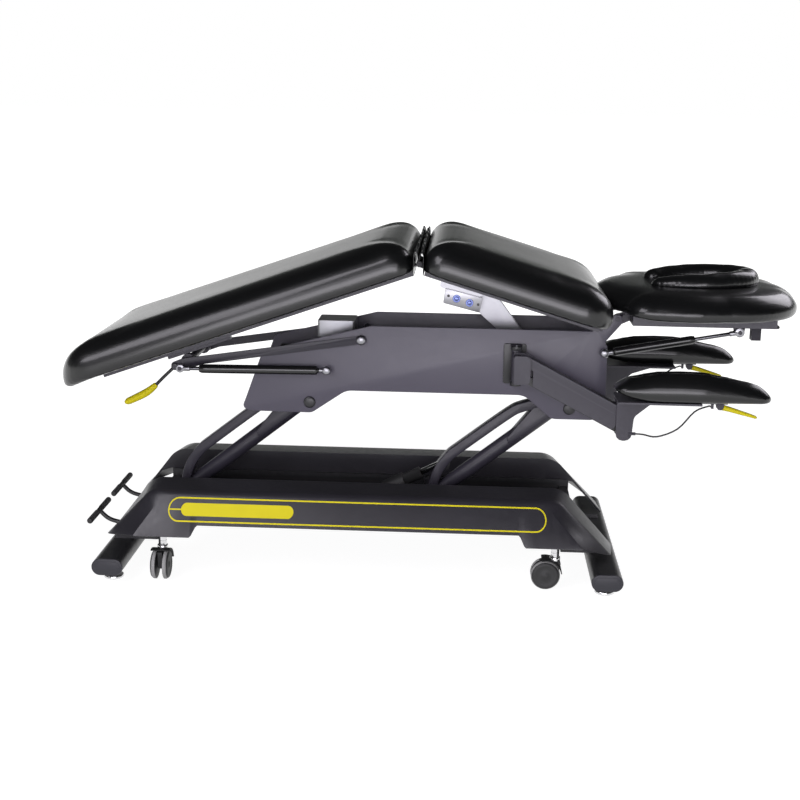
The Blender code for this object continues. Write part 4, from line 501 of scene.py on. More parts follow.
stageLook = {"floor": (0.86, 0.86, 0.86), "reach": 60.0, "glow": 1.3, "near": 0.72, "fade": (1.4, 3.5),
             "lampColour": (0.96, 0.93, 1.0),
             "lamps": [("key", (-2.6, -3.4, 3.2), (0.0, 0.0, 0.5), (2.5, 2.5), 100.0),
                       ("front", (0.0, -4.6, 1.15), (0.0, 0.0, 0.6), (4.0, 2.1), 66.0),
                       ("band", (0.0, -4.5, 0.9), (0.0, 0.0, 0.6), (3.6, 1.0), 39.6),
                       ("rim", (2.4, 1.8, 2.2), (0.3, 0.0, 0.6), (1.6, 1.6), 25.0)],
             "wall": [(0.0, (1, 1, 1)), (0.336, (1, 1, 1)), (0.37, (0.13, 0.14, 0.13)),
                      (0.70, (0.03, 0.03, 0.032)), (1.0, (0.02, 0.02, 0.02))],
             "fill": [(0.0, (0.5, 0.5, 0.5)), (0.5, (0.62, 0.63, 0.65)), (0.65, (0.30, 0.30, 0.31)),
                      (1.0, (0.06, 0.06, 0.06))]}


def seenRays(wire):
    kinds = [wire.add("LightPath", out=kind) for kind in ("Is Camera Ray", "Is Glossy Ray",
                                                          "Is Transmission Ray")]
    return kinds[0].larger(kinds[1]).larger(kinds[2])


def makeStage(look):
    floor = bpy.data.meshes.new("floor")
    reach = look["reach"]
    corners = [(-reach, -reach, 0), (reach, -reach, 0), (reach, reach, 0), (-reach, reach, 0)]
    floor.from_pydata(corners, [], [(0, 1, 2, 3)])
    ground = show("floor", floor)
    ground.location.z = -0.0005
    material, wire, shader = blank("floor_paper")
    feed(shader, Base_Color=look["floor"], Roughness=0.9)
    far = wire.add("VectorMath", {"operation": "LENGTH"}, {0: wire.add("TexCoord", out="Object")}, "Value")
    start, end = look["fade"]
    share = wire.add("MapRange", None,
                     {"Value": far, "From Min": start, "From Max": end, "To Min": look["near"],
                      "To Max": 1.0})
    paper = Wire(material.node_tree, shader.outputs[0])
    glow = wire.add("Emission", None, {"Color": (1, 1, 1, 1), "Strength": look["glow"]})
    mixed = wire.add("MixShader", None, {0: seenRays(wire) * share, 1: paper, 2: glow})
    wire.tree.links.new(mixed.socket, material.node_tree.nodes["Material Output"].inputs["Surface"])
    floor.materials.append(material)

    world = bpy.data.worlds.new("studio")
    bpy.context.scene.world = world
    world.use_nodes = True
    wire = Wire(world.node_tree)
    height = wire.add("SeparateXYZ", None, {"Vector": wire.add("TexCoord", out="Generated")}, "Z")
    wall = wire.add("ValToRGB", {"stops": look["wall"]}, {"Fac": height * 2.0 + 0.2})
    fill = wire.add("ValToRGB", {"stops": look["fill"]}, {"Fac": height * 0.5 + 0.5})
    colour = blendColour(wire, seenRays(wire), fill, wall)
    colour = blendColour(wire, wire.add("LightPath", out="Is Camera Ray"), colour, (1.0, 1.0, 1.0))
    world.node_tree.links.new(colour.socket, world.node_tree.nodes["Background"].inputs["Color"])

    for name, stand, aim, size, power in look["lamps"]:
        data = bpy.data.lights.new(name, "AREA")
        data.shape = "RECTANGLE"
        data.energy = power
        data.color = look["lampColour"]
        data.size, data.size_y = size
        lamp = show(name, data)
        lamp.location = stand
        lamp.rotation_euler = (Vector(aim) - Vector(stand)).to_track_quat("-Z", "Y").to_euler()
    bpy.context.scene.view_settings.view_transform = "Standard"


makeStage(stageLook)
print("camera, floor and lights set")


# Foot beams with end caps, and levelling feet

beamLook = {"width": 0.082, "height": 0.045, "bottom": 0.0275, "length": 0.70, "cap": 0.005,
            "capRound": 0.002}
footLook = {"disc": 0.0265, "discHeight": 0.011, "nut": 0.010, "stem": 0.006, "y": 0.28}


def footBeam(end, sign, look):
    middle = (sign * footSpan, look["bottom"] + look["height"] / 2)
    outline = stadiumLine(middle, look["width"], look["height"], 20)
    half = look["length"] / 2
    node = "foot_beam_%s_end" % end
    sleeve = [lay(outline, -half + look["cap"]), lay(outline, half - look["cap"])]
    piece("beam_tube_" + end, [loft(sleeve)], black, "base", [node])
    caps = []
    rib = stadiumLine(middle, look["width"] - 0.014, look["height"] - 0.014, 20)
    for side in (-1, 1):
        caps.append(plate(outline, side * (half - look["cap"]), side * half, look["capRound"]))
        caps.append(plate(rib, side * (half - 0.001), side * (half + 0.0008), 0.0008))
    piece("beam_caps_" + end, caps, capGrey, "base")


def levellingFoot(end, sign, side, y, look):
    node = "levelling_foot_%s_%s" % (end, side)
    top = beamLook["bottom"]
    high = look["discHeight"]
    profile = [(look["disc"] - 0.0015, 0.0), (look["disc"], 0.0012), (look["disc"], high - 0.0045)]
    profile += [(look["disc"] - 0.001, high - 0.003), (look["nut"] + 0.004, high - 0.001)]
    profile += [(look["nut"], high), (look["nut"], top - 0.0005), (look["stem"], top - 0.0005),
                (look["stem"], top + 0.012)]
    piece(node + "_turned", [turned(profile, at(sign * footSpan, y * look["y"], 0), (0, 0, 1), 48)],
          chrome, "base", [node])


for end, sign in bothEnds:
    footBeam(end, sign, beamLook)
    for side, y in bothSides:
        levellingFoot(end, sign, side, y, footLook)


# Side covers with their yellow outline and pill

coverLook = {"innerY": 0.15, "shoulderY": 0.25, "top": 0.238, "drop": 0.006, "flare": 0.643, "wall": 0.003,
             "skirt": 0.06, "round": 0.06, "footX": 0.4395, "footSlant": 0.0195, "arch": 0.028,
             "railTop": 0.1785, "edge": 0.003, "hem": 0.105, "shoulderStart": 0.16,
             "topCorners": [(-0.682, 0.152), (-0.564, 0.0), (0.537, 0.0), (0.674, 0.1515)],
             "edgeCorners": [(-0.672, 0.125), (-0.549, 0.0), (0.521, 0.0), (0.664, 0.1435)],
             "sideCorners": [(-0.586, 0.104), (-0.518, 0.010), (0.490, 0.010), (0.584, 0.104)]}
stripeLook = {"left": -0.50, "right": 0.492, "high": 0.219, "low": 0.162, "stroke": 0.0045, "proud": 0.0006,
              "pillLeft": -0.466, "pillRight": -0.169, "pillHigh": 0.206, "pillLow": 0.176}
shoulderZ = coverLook["top"] - coverLook["drop"]


def coverFlare(z):
    return coverLook["shoulderY"] + (shoulderZ - z) * coverLook["flare"]


def coverRing(corners, top, spread):
    # Corners are x and the drop below the top, from the left end's foot to the right end's.
    look = coverLook
    steps = 14
    leftBottom, leftTop, rightTop, rightBottom = [(x, top - drop) for x, drop in corners]
    line = roundedLine([leftBottom, (*leftTop, look["round"]), (*rightTop, look["round"]), rightBottom],
                       steps)
    points = [line[0], line[0].lerp(line[1], 0.35), line[0].lerp(line[1], 0.7)]
    points += line[1:steps + 2]
    level = line[steps + 1]
    last = line[steps + 2]
    foot = look["footX"]
    slant = look["footSlant"]
    for x in (-foot, -foot + slant * 0.25, -foot + slant * 0.75, -foot + slant, -0.2, 0.0, 0.2,
              foot - slant, foot - slant * 0.75, foot - slant * 0.25, foot):
        points.append(level.lerp(last, (x - level.x) / (last.x - level.x)))
    points += line[steps + 2:2 * steps + 3]
    points += [line[2 * steps + 2].lerp(line[-1], 0.3), line[2 * steps + 2].lerp(line[-1], 0.65), line[-1]]
    return [(p.x, spread(p.y), p.y) for p in points]


def coverArch(x):
    rise = ease((coverLook["footX"] - abs(x)) / coverLook["footSlant"])
    return shoulderZ - coverLook["hem"] + coverLook["arch"] * rise


def sideCover(side, sign):
    look = coverLook
    topRing = coverRing(look["topCorners"], look["top"], lambda z: look["innerY"])
    fall = topRing[0][2]
    skirtRing = []
    for x, y, z in topRing:
        aboveRail = max(z - look["railTop"] - 0.004, 0.004)
        skirtRing.append((x, y, z - min(look["skirt"], 0.004 + 0.5 * abs(z - fall), aboveRail)))
    edgeRing = coverRing(look["edgeCorners"], shoulderZ, lambda z: look["shoulderY"])
    sideRing = coverRing(look["sideCorners"], shoulderZ, coverFlare)
    shoulder = []
    for k in range(6):
        share = k / 6
        ring = []
        for inside, corner, outside in zip(topRing, edgeRing, sideRing):
            corner = Vector(corner)
            start = corner.lerp(Vector(inside), look["shoulderStart"])
            ring.append(start.lerp(corner, share).lerp(corner.lerp(Vector(outside), share), share))
        shoulder.append(ring)
    lowerRing = []
    for x, y, z in sideRing:
        low = min(coverArch(x), z - 0.001)
        lowerRing.append((x, coverFlare(low), low))
    shell = bmesh.new()
    rows = []
    for ring in (skirtRing, topRing, *shoulder, sideRing, lowerRing):
        rows.append([shell.verts.new(at(x, sign * y, z)) for x, y, z in ring])
    for low, high in zip(rows, rows[1:]):
        for i in range(len(low) - 1):
            corners = (low[i], low[i + 1], high[i + 1], high[i])
            shell.faces.new(corners if sign < 0 else corners[::-1])
    made = piece("cover_shell_" + side, [shell], coverBlack, None,
                 ["base_cover_" + side], 60.0)
    wall = made.modifiers.new("wall", "SOLIDIFY")
    wall.thickness = look["wall"]
    wall.offset = -1.0
    wall.use_even_offset = True
    soft = made.modifiers.new("soft", "BEVEL")
    soft.width = look["edge"]
    soft.segments = 3
    soft.limit_method = "ANGLE"
    soft.angle_limit = math.radians(24)
    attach(made, "base")


def onCover(points, sign, proud):
    # Points given as x and z on the flared side face.
    normal = Vector((0.0, sign, coverLook["flare"])).normalized()
    return [at(p.x, sign * coverFlare(p.y), p.y) + normal * (coverLook["wall"] + proud) for p in points]


def decal(outer, inner, sign, proud):
    rings = [onCover(outer, sign, -0.0004), onCover(outer, sign, proud)]
    if inner:
        rings += [onCover(inner, sign, proud), onCover(inner, sign, -0.0004)]
    return loft(rings, bool(inner))


def yellowMarks(side, sign):
    look = stripeLook
    middle = ((look["left"] + look["right"]) / 2, (look["high"] + look["low"]) / 2)
    wide = look["right"] - look["left"]
    tall = look["high"] - look["low"]
    outer = stadiumLine(middle, wide, tall, 24)
    inner = insetLine(outer, look["stroke"] * 0.75)
    solids = [decal(outer, inner, sign, look["proud"])]
    pillMiddle = ((look["pillLeft"] + look["pillRight"]) / 2, (look["pillHigh"] + look["pillLow"]) / 2)
    pill = stadiumLine(pillMiddle, look["pillRight"] - look["pillLeft"], look["pillHigh"] - look["pillLow"],
                       20)
    solids.append(decal(pill, None, sign, look["proud"]))
    z = middle[1]
    dash = [Vector((look["left"] + 0.002, z - 0.0016)), Vector((look["pillLeft"] + 0.002, z - 0.0016)),
            Vector((look["pillLeft"] + 0.002, z + 0.0016)), Vector((look["left"] + 0.002, z + 0.0016))]
    solids.append(decal(dash, None, sign, look["proud"] * 0.9))
    piece("yellow_marks_" + side, solids, yellow, "base", smooth=30.0)


for side, sign in bothSides:
    sideCover(side, sign)
    yellowMarks(side, sign)
print("base made")


# Castors

castorLook = {"radius": 0.0385, "inner": 0.0085, "outer": 0.0245, "stem": 0.011, "forkTop": 0.078,
              "barLow": 0.1197, "hoodFrom": 10, "hoodSweep": 95, "hoodGap": 0.0025, "hoodWall": 0.003}


def castor(end, endSign, side, look):
    label = end + "_" + side
    hub = jointAt["castor_roll_" + label]
    axle = Vector((1, 0, 0)) if endSign < 0 else Vector((0, 1, 0))
    radius = look["radius"]
    wide = look["outer"] - look["inner"]
    body = []
    bands = []
    for sign in (-1, 1):
        start = hub + axle * sign * look["inner"]
        profile = [(radius - 0.012, 0.0), (radius - 0.0025, 0.001), (radius - 0.0025, wide - 0.0045)]
        profile += [(radius - 0.005, wide - 0.002), (radius - 0.010, wide - 0.0006),
                    (radius - 0.014, wide - 0.0022)]
        profile += [(0.010, wide - 0.0030), (0.007, wide - 0.0008), (0.002, wide)]
        body.append(turned(profile, start, axle * sign, 56))
        band = [(radius - 0.0026, 0.0012), (radius, 0.0022), (radius, wide - 0.0085),
                (radius - 0.0012, wide - 0.0062), (radius - 0.0026, wide - 0.0050)]
        bands.append(turned(band, start, axle * sign, 56))
    body.append(softRod(hub - axle * look["inner"], hub + axle * look["inner"], 0.0039, 0.0005, 20))
    piece("wheel_bodies_" + label, body, rubber, "castor_wheels_" + label,
          ["castor_wheels_" + label])
    piece("wheel_treads_" + label, bands, tread, "castor_wheels_" + label)

    stem = jointAt["castor_swivel_" + label]
    ahead = stem - hub
    ahead.z = 0.0
    ahead.normalize()
    hoodRadius = radius + look["hoodGap"]
    hood = []
    for inner in (True, False):
        reach = hoodRadius if inner else hoodRadius + look["hoodWall"]
        turns = range(25) if inner else range(24, -1, -1)
        for k in turns:
            angle = math.radians(look["hoodFrom"] + look["hoodSweep"] * k / 24)
            hood.append(Vector((reach * math.cos(angle), reach * math.sin(angle))))
    def beside(line, far):
        return [hub + ahead * p.x + Vector((0, 0, p.y)) + axle * far for p in line]

    half = look["outer"] + 0.001
    sides = ((-half, 0.0008), (-half + 0.001, 0.0), (half - 0.001, 0.0), (half, 0.0008))
    solids = [loft([beside(insetLine(hood, inset), far) for far, inset in sides])]
    cheek = roundedLine([(-0.012, -0.012, 0.011), (0.012, -0.012, 0.011), (0.040, 0.028, 0.004),
                         (0.036, hoodRadius + 0.002), (-0.016, hoodRadius - 0.004)], 6)
    solids.append(loft([beside(cheek, far) for far in (-0.006, 0.006)]))
    piece("castor_hood_" + label, solids, rubber, "castor_fork_" + label,
          ["castor_fork_" + label])
    base = Vector((stem.x, stem.y, look["forkTop"]))
    high = look["barLow"] - look["forkTop"]
    profile = [(0.013, 0.0), (0.014, 0.001), (0.014, 0.009), (0.0132, 0.010), (look["stem"], 0.0105)]
    profile += [(look["stem"], 0.022), (look["stem"] - 0.001, 0.0225), (look["stem"] - 0.001, 0.0235)]
    profile += [(look["stem"], 0.024), (look["stem"], high)]
    piece("castor_stem_" + label, [turned(profile, base, (0, 0, 1), 36)], chrome, "castor_fork_" + label)


for end, endSign in bothEnds:
    for side, sign in bothSides:
        castor(end, endSign, side, castorLook)


# Pedals

pedalLook = {"reach": 0.120, "rise": 0.034, "bar": 0.20, "barRadius": 0.008, "stem": 0.006, "hub": 0.014,
             "hubWidth": 0.040}


def pedal(side, look):
    pivot = jointAt["pedal_press_" + side]
    reach = look["reach"]
    route = [(-look["hub"] + 0.003, 0.001), (-0.3 * reach, 0.0015), (-0.55 * reach, 0.002),
             (-0.8 * reach, 0.35 * look["rise"]), (-reach, look["rise"])]
    line = smoothLine([pivot + Vector((x, 0, z)) for x, z in route], 24)
    solids = [pinAcross(pivot, look["hubWidth"] / 2, look["hub"], 0.0015, 32), tube(line, look["stem"], 20)]
    piece("pedal_stem_" + side, solids, black, "pedal_" + side, ["pedal_" + side])
    tip = pivot + Vector((-reach, -look["bar"] / 2, look["rise"]))
    radius = look["barRadius"]
    profile = [(0.003, 0.0), (radius * 0.75, 0.0006), (radius, 0.003)]
    ribs = 15
    grip = look["bar"] * 0.36
    for k in range(ribs):
        far = 0.006 + grip * k / ribs
        profile += [(radius, far), (radius, far + 0.003), (radius - 0.0009, far + 0.0034),
                    (radius - 0.0009, far + 0.0044)]
    profile.append((radius - 0.0012, grip + 0.008))
    profile += [(r, look["bar"] - far) for r, far in profile[::-1]]
    piece("pedal_tread_" + side, [turned(profile, tip, (0, 1, 0), 32)], rubber, "pedal_" + side)


for side, sign in bothSides:
    pedal(side, pedalLook)
print("castors and pedals made")


# Lift arms: a bowed bar over a round tube

armLook = {"run": 0.361, "rise": 0.286, "pivot": 0.022, "bowHalf": 0.020, "bowDepth": 0.026, "tube": 0.021,
           "gusset": 0.023, "lowHalf": 0.1047, "highHalf": 0.1147, "dome": 0.016, "lowDome": 0.1133,
           "highDome": 0.1203,
           "bow": [(0.005, 0.13), (0.045, 0.28), (0.12, 0.41), (0.20, 0.495), (0.55, 0.835), (0.66, 0.915),
                   (0.80, 0.96)]}
lugLook = {"eye": (0.031, 0.098), "ring": 0.0157, "inner": 0.012, "outer": 0.018}


def bandLine(points, depth):
    upper = []
    lower = []
    for i, here in enumerate(points):
        along = (points[min(i + 1, len(points) - 1)] - points[max(i - 1, 0)]).normalized()
        across = Vector((-along.y, along.x)) * depth / 2
        upper.append(here + across)
        lower.append(here - across)
    return lower + upper[::-1]


def domeHead(centre, direction, radius, height):
    profile = []
    for k in range(9):
        angle = math.pi / 2 * k / 8
        profile.append((max(radius * math.cos(angle), 0.0006), height * (0.2 + 0.8 * math.sin(angle))))
    return turned([(radius, 0.0)] + profile, centre, direction, 36)


def liftArm(end, look):
    node = "lift_arm_%s_end" % end
    low = jointAt["lift"] if end == "leg" else jointAt["lift_head_arm"]
    x = low.x - middleX
    z = low.z
    run = look["run"]
    rise = look["rise"]
    far = Vector((x + run, z + rise))
    bow = [(x + a * run, z + b * rise) for a, b in look["bow"]]
    bow = [(x + 0.002, z + 0.006), *bow, (far.x - 0.004, far.y + 0.002)]
    bow = smoothLine(bow, 40)
    solids = [plate(bandLine(bow, look["bowDepth"]), -look["bowHalf"], look["bowHalf"], 0.002)]
    solids.append(pinAcross(at(x, 0, z), look["lowHalf"], look["pivot"], 0.002, 40))
    solids.append(pinAcross(at(far.x, 0, far.y), look["highHalf"], look["pivot"], 0.002, 40))
    solids.append(softRod(at(x + 0.010, 0, z + 0.010), at(far.x - 0.010, 0, far.y - 0.008), look["tube"],
                          0.002, 40))
    gusset = roundedLine([(x + 0.555 * run, z + 0.61 * rise, 0.006),
                          (x + 0.575 * run, z + 0.55 * rise, 0.006), (x + 0.87 * run, z + 0.83 * rise),
                          (far.x + 0.008, far.y - 0.018), (far.x + 0.012, far.y + 0.012),
                          (x + 0.75 * run, z + 0.92 * rise)])
    solids.append(plate(gusset, -look["gusset"], look["gusset"], 0.0015))
    piece("lift_arm_shape_" + end, solids, charcoal, node, [node], 45.0)
    caps = []
    for sign in (-1, 1):
        caps.append(domeHead(at(x, sign * look["lowDome"], z), (0, sign, 0), look["dome"], 0.005))
        caps.append(domeHead(at(far.x, sign * look["highDome"], far.y), (0, sign, 0), look["dome"], 0.006))
    piece("lift_arm_caps_" + end, caps, black, node)


def liftLug(look):
    # Two ears on the head-end arm that hold the lift rod's eye.
    root = jointAt["lift_head_arm"]
    eye = Vector((root.x - middleX + look["eye"][0], root.z + look["eye"][1]))
    ring = look["ring"]
    ears = []
    for sign in (-1, 1):
        ear = roundedLine([(eye.x - ring, eye.y - ring, ring), (eye.x + 0.012, eye.y - ring - 0.006),
                           (eye.x + 0.018, eye.y + ring + 0.004), (eye.x - ring, eye.y + ring, ring)], 8)
        ears.append(plate(ear, sign * look["inner"], sign * look["outer"]))
    piece("lift_lug_head", ears, black, "lift_arm_head_end")


for end, sign in bothEnds:
    liftArm(end, armLook)
liftLug(lugLook)


# Chassis side plates, tray and armrest mounts

sideLook = {"inner": 0.115, "thick": 0.005, "span": 0.695, "midHinge": (0.769, 0.218),
            "headHinge": (0.812, 0.244)}
upper = jointAt["chassis_level"]


def onChassis(x, z):
    return Vector((x + upper.x - middleX, z + upper.z))


def chassisSide(side, sign, look):
    span = look["span"]
    midX, midZ = look["midHinge"]
    headX, headZ = look["headHinge"]
    corners = [(-0.126, 0.138, 0.015), (-0.171, 0.011, 0.02), (-0.184, -0.023, 0.03),
               (-0.150, -0.028, 0.03), (0.006, -0.029, 0.03), (0.098, 0.034, 0.05),
               (span - 0.121, 0.034, 0.05), (span - 0.046, -0.029, 0.03), (span + 0.089, -0.029, 0.055),
               (span + 0.095, 0.041, 0.02), (span + 0.093, 0.172), (midX + 0.012, midZ - 0.036, 0.006),
               (headX + 0.012, headZ - 0.010, 0.008), (headX + 0.012, headZ + 0.012, 0.011),
               (headX - 0.013, headZ + 0.012, 0.011), (midX + 0.016, midZ + 0.013, 0.010),
               (midX - 0.014, midZ + 0.014, 0.012), (midX - 0.019, 0.211, 0.006), (0.164, 0.211, 0.03)]
    line = roundedLine([(*onChassis(c[0], c[1]), *c[2:]) for c in corners], 12)
    sheet = plate(line, sign * look["inner"], sign * (look["inner"] + look["thick"]))
    piece("chassis_plate_" + side, [sheet], litChassisPaint, "chassis",
          ["chassis_side_" + side], 30.0)


mountLook = {"x": (0.516, 0.576), "z": (0.066, 0.174), "out": 0.119, "thick": 0.006, "round": 0.006,
             "reach": 0.165, "earHalf": 0.015, "earThick": 0.010, "pin": 0.0065}


def armMount(side, sign, look):
    x0, x1 = look["x"]
    z0, z1 = look["z"]
    out = look["out"]
    face = [(*onChassis(x, z), look["round"]) for x, z in ((x0, z0), (x1, z0), (x1, z1), (x0, z1))]
    solids = [plate(roundedLine(face, 6), sign * out, sign * (out + look["thick"]))]
    swing = jointAt["armrest_swing_" + side]
    x = swing.x - middleX
    half = look["earHalf"]
    root = sign * (out + 0.002)
    tip = sign * look["reach"]
    for z in (z0 + 0.001, z1 - 0.011):
        ear = roundedLine([(x - half, root), (x - half, tip, 0.014), (x + half, tip, 0.014),
                           (x + half, root)], 10)
        solids.append(plate(ear, upper.z + z, upper.z + z + look["earThick"], 0.001, "z"))
    piece("armrest_mount_" + side, solids, black, "chassis")
    pins = []
    for z in (z0 - 0.001, z1 - 0.001):
        pin = look["pin"]
        profile = [(pin - 0.001, 0.0), (pin, 0.0006), (pin, 0.0024), (pin - 0.001, 0.003)]
        pins.append(turned(profile, Vector((swing.x, swing.y, upper.z + z - 0.0005)), (0, 0, 1), 24))
    piece("armrest_pins_" + side, pins, gunMetal, "chassis")


for side, sign in bothSides:
    chassisSide(side, sign, sideLook)
    armMount(side, sign, mountLook)
dress("chassis_tray", black, "black_paint")
dress("control_box", zinc, "aluminium")
dress("base_frame", black, "black_paint")
dress("castor_carriage", black, "black_paint")
for name in ("lift_motor", "mid_motor"):
    dress(name, rubber, "black_plastic", 50.0)
for name in ("lift_rod", "mid_rod"):
    dress(name, chrome, "zinc", 50.0)
dress("mid_lift_bracket", zinc, "zinc")

screwLook = {"washer": 0.0105, "head": 0.0068, "tall": 0.005, "face": 0.053, "thick": 0.003,
             "plate": [(0.2122, 0.7614, 0.004), (0.3125, 0.737, 0.004), (0.3048, 0.6965, 0.004),
                       (0.2064, 0.721, 0.004)], "places": [(0.2425, 0.7332), (0.2773, 0.7227)],
             "holes": [(0.2207, 0.7405), (0.3007, 0.7186)]}


def hexHead(centre, direction, look):
    wide = look["washer"]
    head = look["head"]
    tall = look["tall"]
    washer = [(wide, 0.0), (wide, 0.001), (wide - 0.0006, 0.0015)]
    hexagon = [(head, 0.0012), (head, tall), (head * 0.8, tall + 0.0006)]
    return [turned(washer, centre, direction, 32), turned(hexagon, centre, direction, 6)]


def bracketScrews(look):
    face = -look["face"]
    cheek = plate(roundedLine(look["plate"]), face, face + look["thick"], 0.0006)
    piece("bracket_plate", [cheek], zinc, "mid_section", smooth=30.0)
    bolts = []
    for x, z in look["places"]:
        bolts += hexHead(at(x, face, z), (0, -1, 0), look)
    piece("bracket_screws", bolts, boltBlue, "mid_section", smooth=30.0)
    # Thin black discs on the plate where its two holes are: painted shade for the dark inside of the holes.
    shadeDisc = [(0.0036, -0.0008), (0.0036, 0.0004), (0.003, 0.0006)]
    holes = [turned(shadeDisc, at(x, face, z), (0, -1, 0), 24) for x, z in look["holes"]]
    piece("bracket_hole_shade", holes, black, "mid_section")


bracketScrews(screwLook)
for name in ("mid_frame", "leg_frame"):
    dress(name, charcoal, "black_paint")
dress("head_frame", charcoal, "charcoal_paint")
print("chassis and frames made")


# Leg support arm, gas springs and release lever

springLook = {"radius": 0.012, "rod": 0.005, "body": 0.345, "tip": 0.0110}
headSpringLook = {"radius": 0.011, "rod": 0.005, "body": 0.24, "tip": 0.0123}

dress("leg_support_arm", charcoal, "charcoal_paint", 45.0)
bearing = jointAt["leg_support_swing"]
domes = [domeHead(bearing + Vector((0, sign * 0.1283, 0)), (0, sign, 0), 0.013, 0.009) for sign in (-1, 1)]
piece("support_domes", domes, zinc, "leg_support_arm")


def gasSpring(prefix, look):
    foot = jointAt[prefix + "_tilt"]
    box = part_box(prefix + "_rod")
    slide = next(joint for joint in frame["joints"] if joint["name"] == prefix + "_slide")
    run = Vector(slide["axis"]).normalized()
    far = box[1].x if run.x > 0 else box[0].x
    length = abs((far - foot.x) / run.x) - look["tip"]
    radius = look["radius"]
    body = look["body"]
    profile = [(radius * 0.45, 0.0), (radius * 0.5, 0.004), (radius * 0.92, 0.008), (radius, 0.011),
               (radius, body - 0.040), (radius * 0.985, body - 0.030), (radius * 0.8, body - 0.023),
               (look["rod"] + 0.001, body - 0.022)]
    piece(prefix + "_barrel", [turned(profile, foot + run * 0.018, run, 40)], strutBlack,
          prefix + "_cylinder", [prefix + "_cylinder"])
    eye = [pinAcross(foot, 0.006, 0.011, 0.002, 32),
           softRod(foot + run * 0.004, foot + run * 0.026, 0.0055, 0.0005, 20)]
    eye.append(domeHead(foot - Vector((0, 0.006, 0)), (0, -1, 0), 0.0105, 0.0055))
    piece(prefix + "_eye", eye, zinc, prefix + "_cylinder")
    tip = foot + run * length
    solids = [softRod(foot + run * (body - 0.02), tip - run * 0.008, look["rod"], 0.0004, 24)]
    piece(prefix + "_shaft", solids, gunMetal, prefix + "_rod", [prefix + "_rod"])
    ends = [pinAcross(tip, 0.006, look["tip"], 0.0015, 32),
            softRod(tip - run * 0.026, tip - run * 0.006, 0.0068, 0.001, 20)]
    piece(prefix + "_ball_end", ends, zinc, prefix + "_rod")


gasSpring("leg_strut", springLook)
gasSpring("head_strut", headSpringLook)

leverLook = {"rod": 0.0044, "grip": 0.0105, "hub": 0.009,
             "route": [(-0.004, -0.004), (-0.030, -0.029), (-0.058, -0.057), (-0.085, -0.077),
                       (-0.137, -0.103)]}


def releaseLever(look):
    root = jointAt["leg_lever_press"]
    line = smoothLine([root + Vector((x, 0, z)) for x, z in look["route"]], 40)
    solids = [pinAcross(root, look["hub"] / 2, look["hub"], 0.001, 28), tube(line[:26], look["rod"], 16)]
    piece("release_rod", solids, black, "leg_release_lever", ["leg_release_lever"])
    grip = line[17:]
    radii = []
    for i in range(len(grip)):
        share = i / (len(grip) - 1)
        swell = 0.72 + 0.28 * math.sin(math.pi * min(share * 1.15, 1.0) * 0.75)
        radii.append(look["grip"] * swell)
    radii[0] *= 0.8
    radii[-2] *= 0.86
    radii[-1] *= 0.45
    piece("release_grip", [tube(grip, radii, 20)], yellow, "leg_release_lever")


releaseLever(leverLook)


# Head handle

handleLook = {"wire": 0.004, "half": 0.0982, "reach": 0.036, "drop": 0.006,
              "route": [(0.0, -1), (0.5, -1), (0.85, -0.985), (1.0, -0.88), (1.0, -0.5), (1.0, 0.0),
                        (1.0, 0.5), (1.0, 0.88), (0.85, 0.985), (0.5, 1), (0.0, 1)]}


def headHandle(look):
    pivot = jointAt["head_handle_pull"]
    half = look["half"]
    line = [pivot + Vector((share * look["reach"], y * half, -share * look["drop"])) for share,
            y in look["route"]]
    solids = [tube(smoothLine(line, 60), look["wire"], 14)]
    for sign in (-1, 1):
        solids.append(pinAcross(pivot + Vector((0, sign * half, 0)), 0.0045, 0.0065))
    piece("handle_wire", solids, black, "head_handle", ["head_handle"])


headHandle(handleLook)


# Armrests

armrestLook = {"lever": [(0.004, -0.001), (0.025, -0.006), (0.050, -0.013), (0.075, -0.020), (0.095, -0.026)],
               "cable": 0.0022, "cableY": 0.224, "padY": 0.255, "hub": 0.0062, "hubHalf": 0.0057}

for side, sign in bothSides:
    for name in ("knuckle", "upper_link", "lower_link", "bracket"):
        paint = (black, "black_paint") if name == "lower_link" else (charcoal, "charcoal_paint")
        dress("armrest_%s_%s" % (name, side), *paint)


def armrestLever(side, look):
    root = jointAt["armrest_lever_press_" + side]
    line = smoothLine([root + Vector((x, 0, z)) for x, z in look["lever"]], 24)
    solids = [pinAcross(root, look["hubHalf"], look["hub"])]
    across = Vector((0, 1, 0))
    rings = []
    for i, here in enumerate(line):
        share = i / (len(line) - 1)
        along = (line[min(i + 1, len(line) - 1)] - line[max(i - 1, 0)]).normalized()
        lift = across.cross(along)
        wide = 0.0065 + 0.0025 * math.sin(math.pi * min(share * 0.75 + 0.1, 1.0))
        thick = 0.0078 - 0.0040 * share
        if i in (0, len(line) - 1):
            wide *= 0.6
            thick *= 0.5
        rings.append([here + wide * c * across + thick * s * lift for c, s in circle(20)])
    solids.append(loft(rings))
    piece("armrest_grip_" + side, solids, yellow, "armrest_lever_" + side,
          ["armrest_lever_" + side])


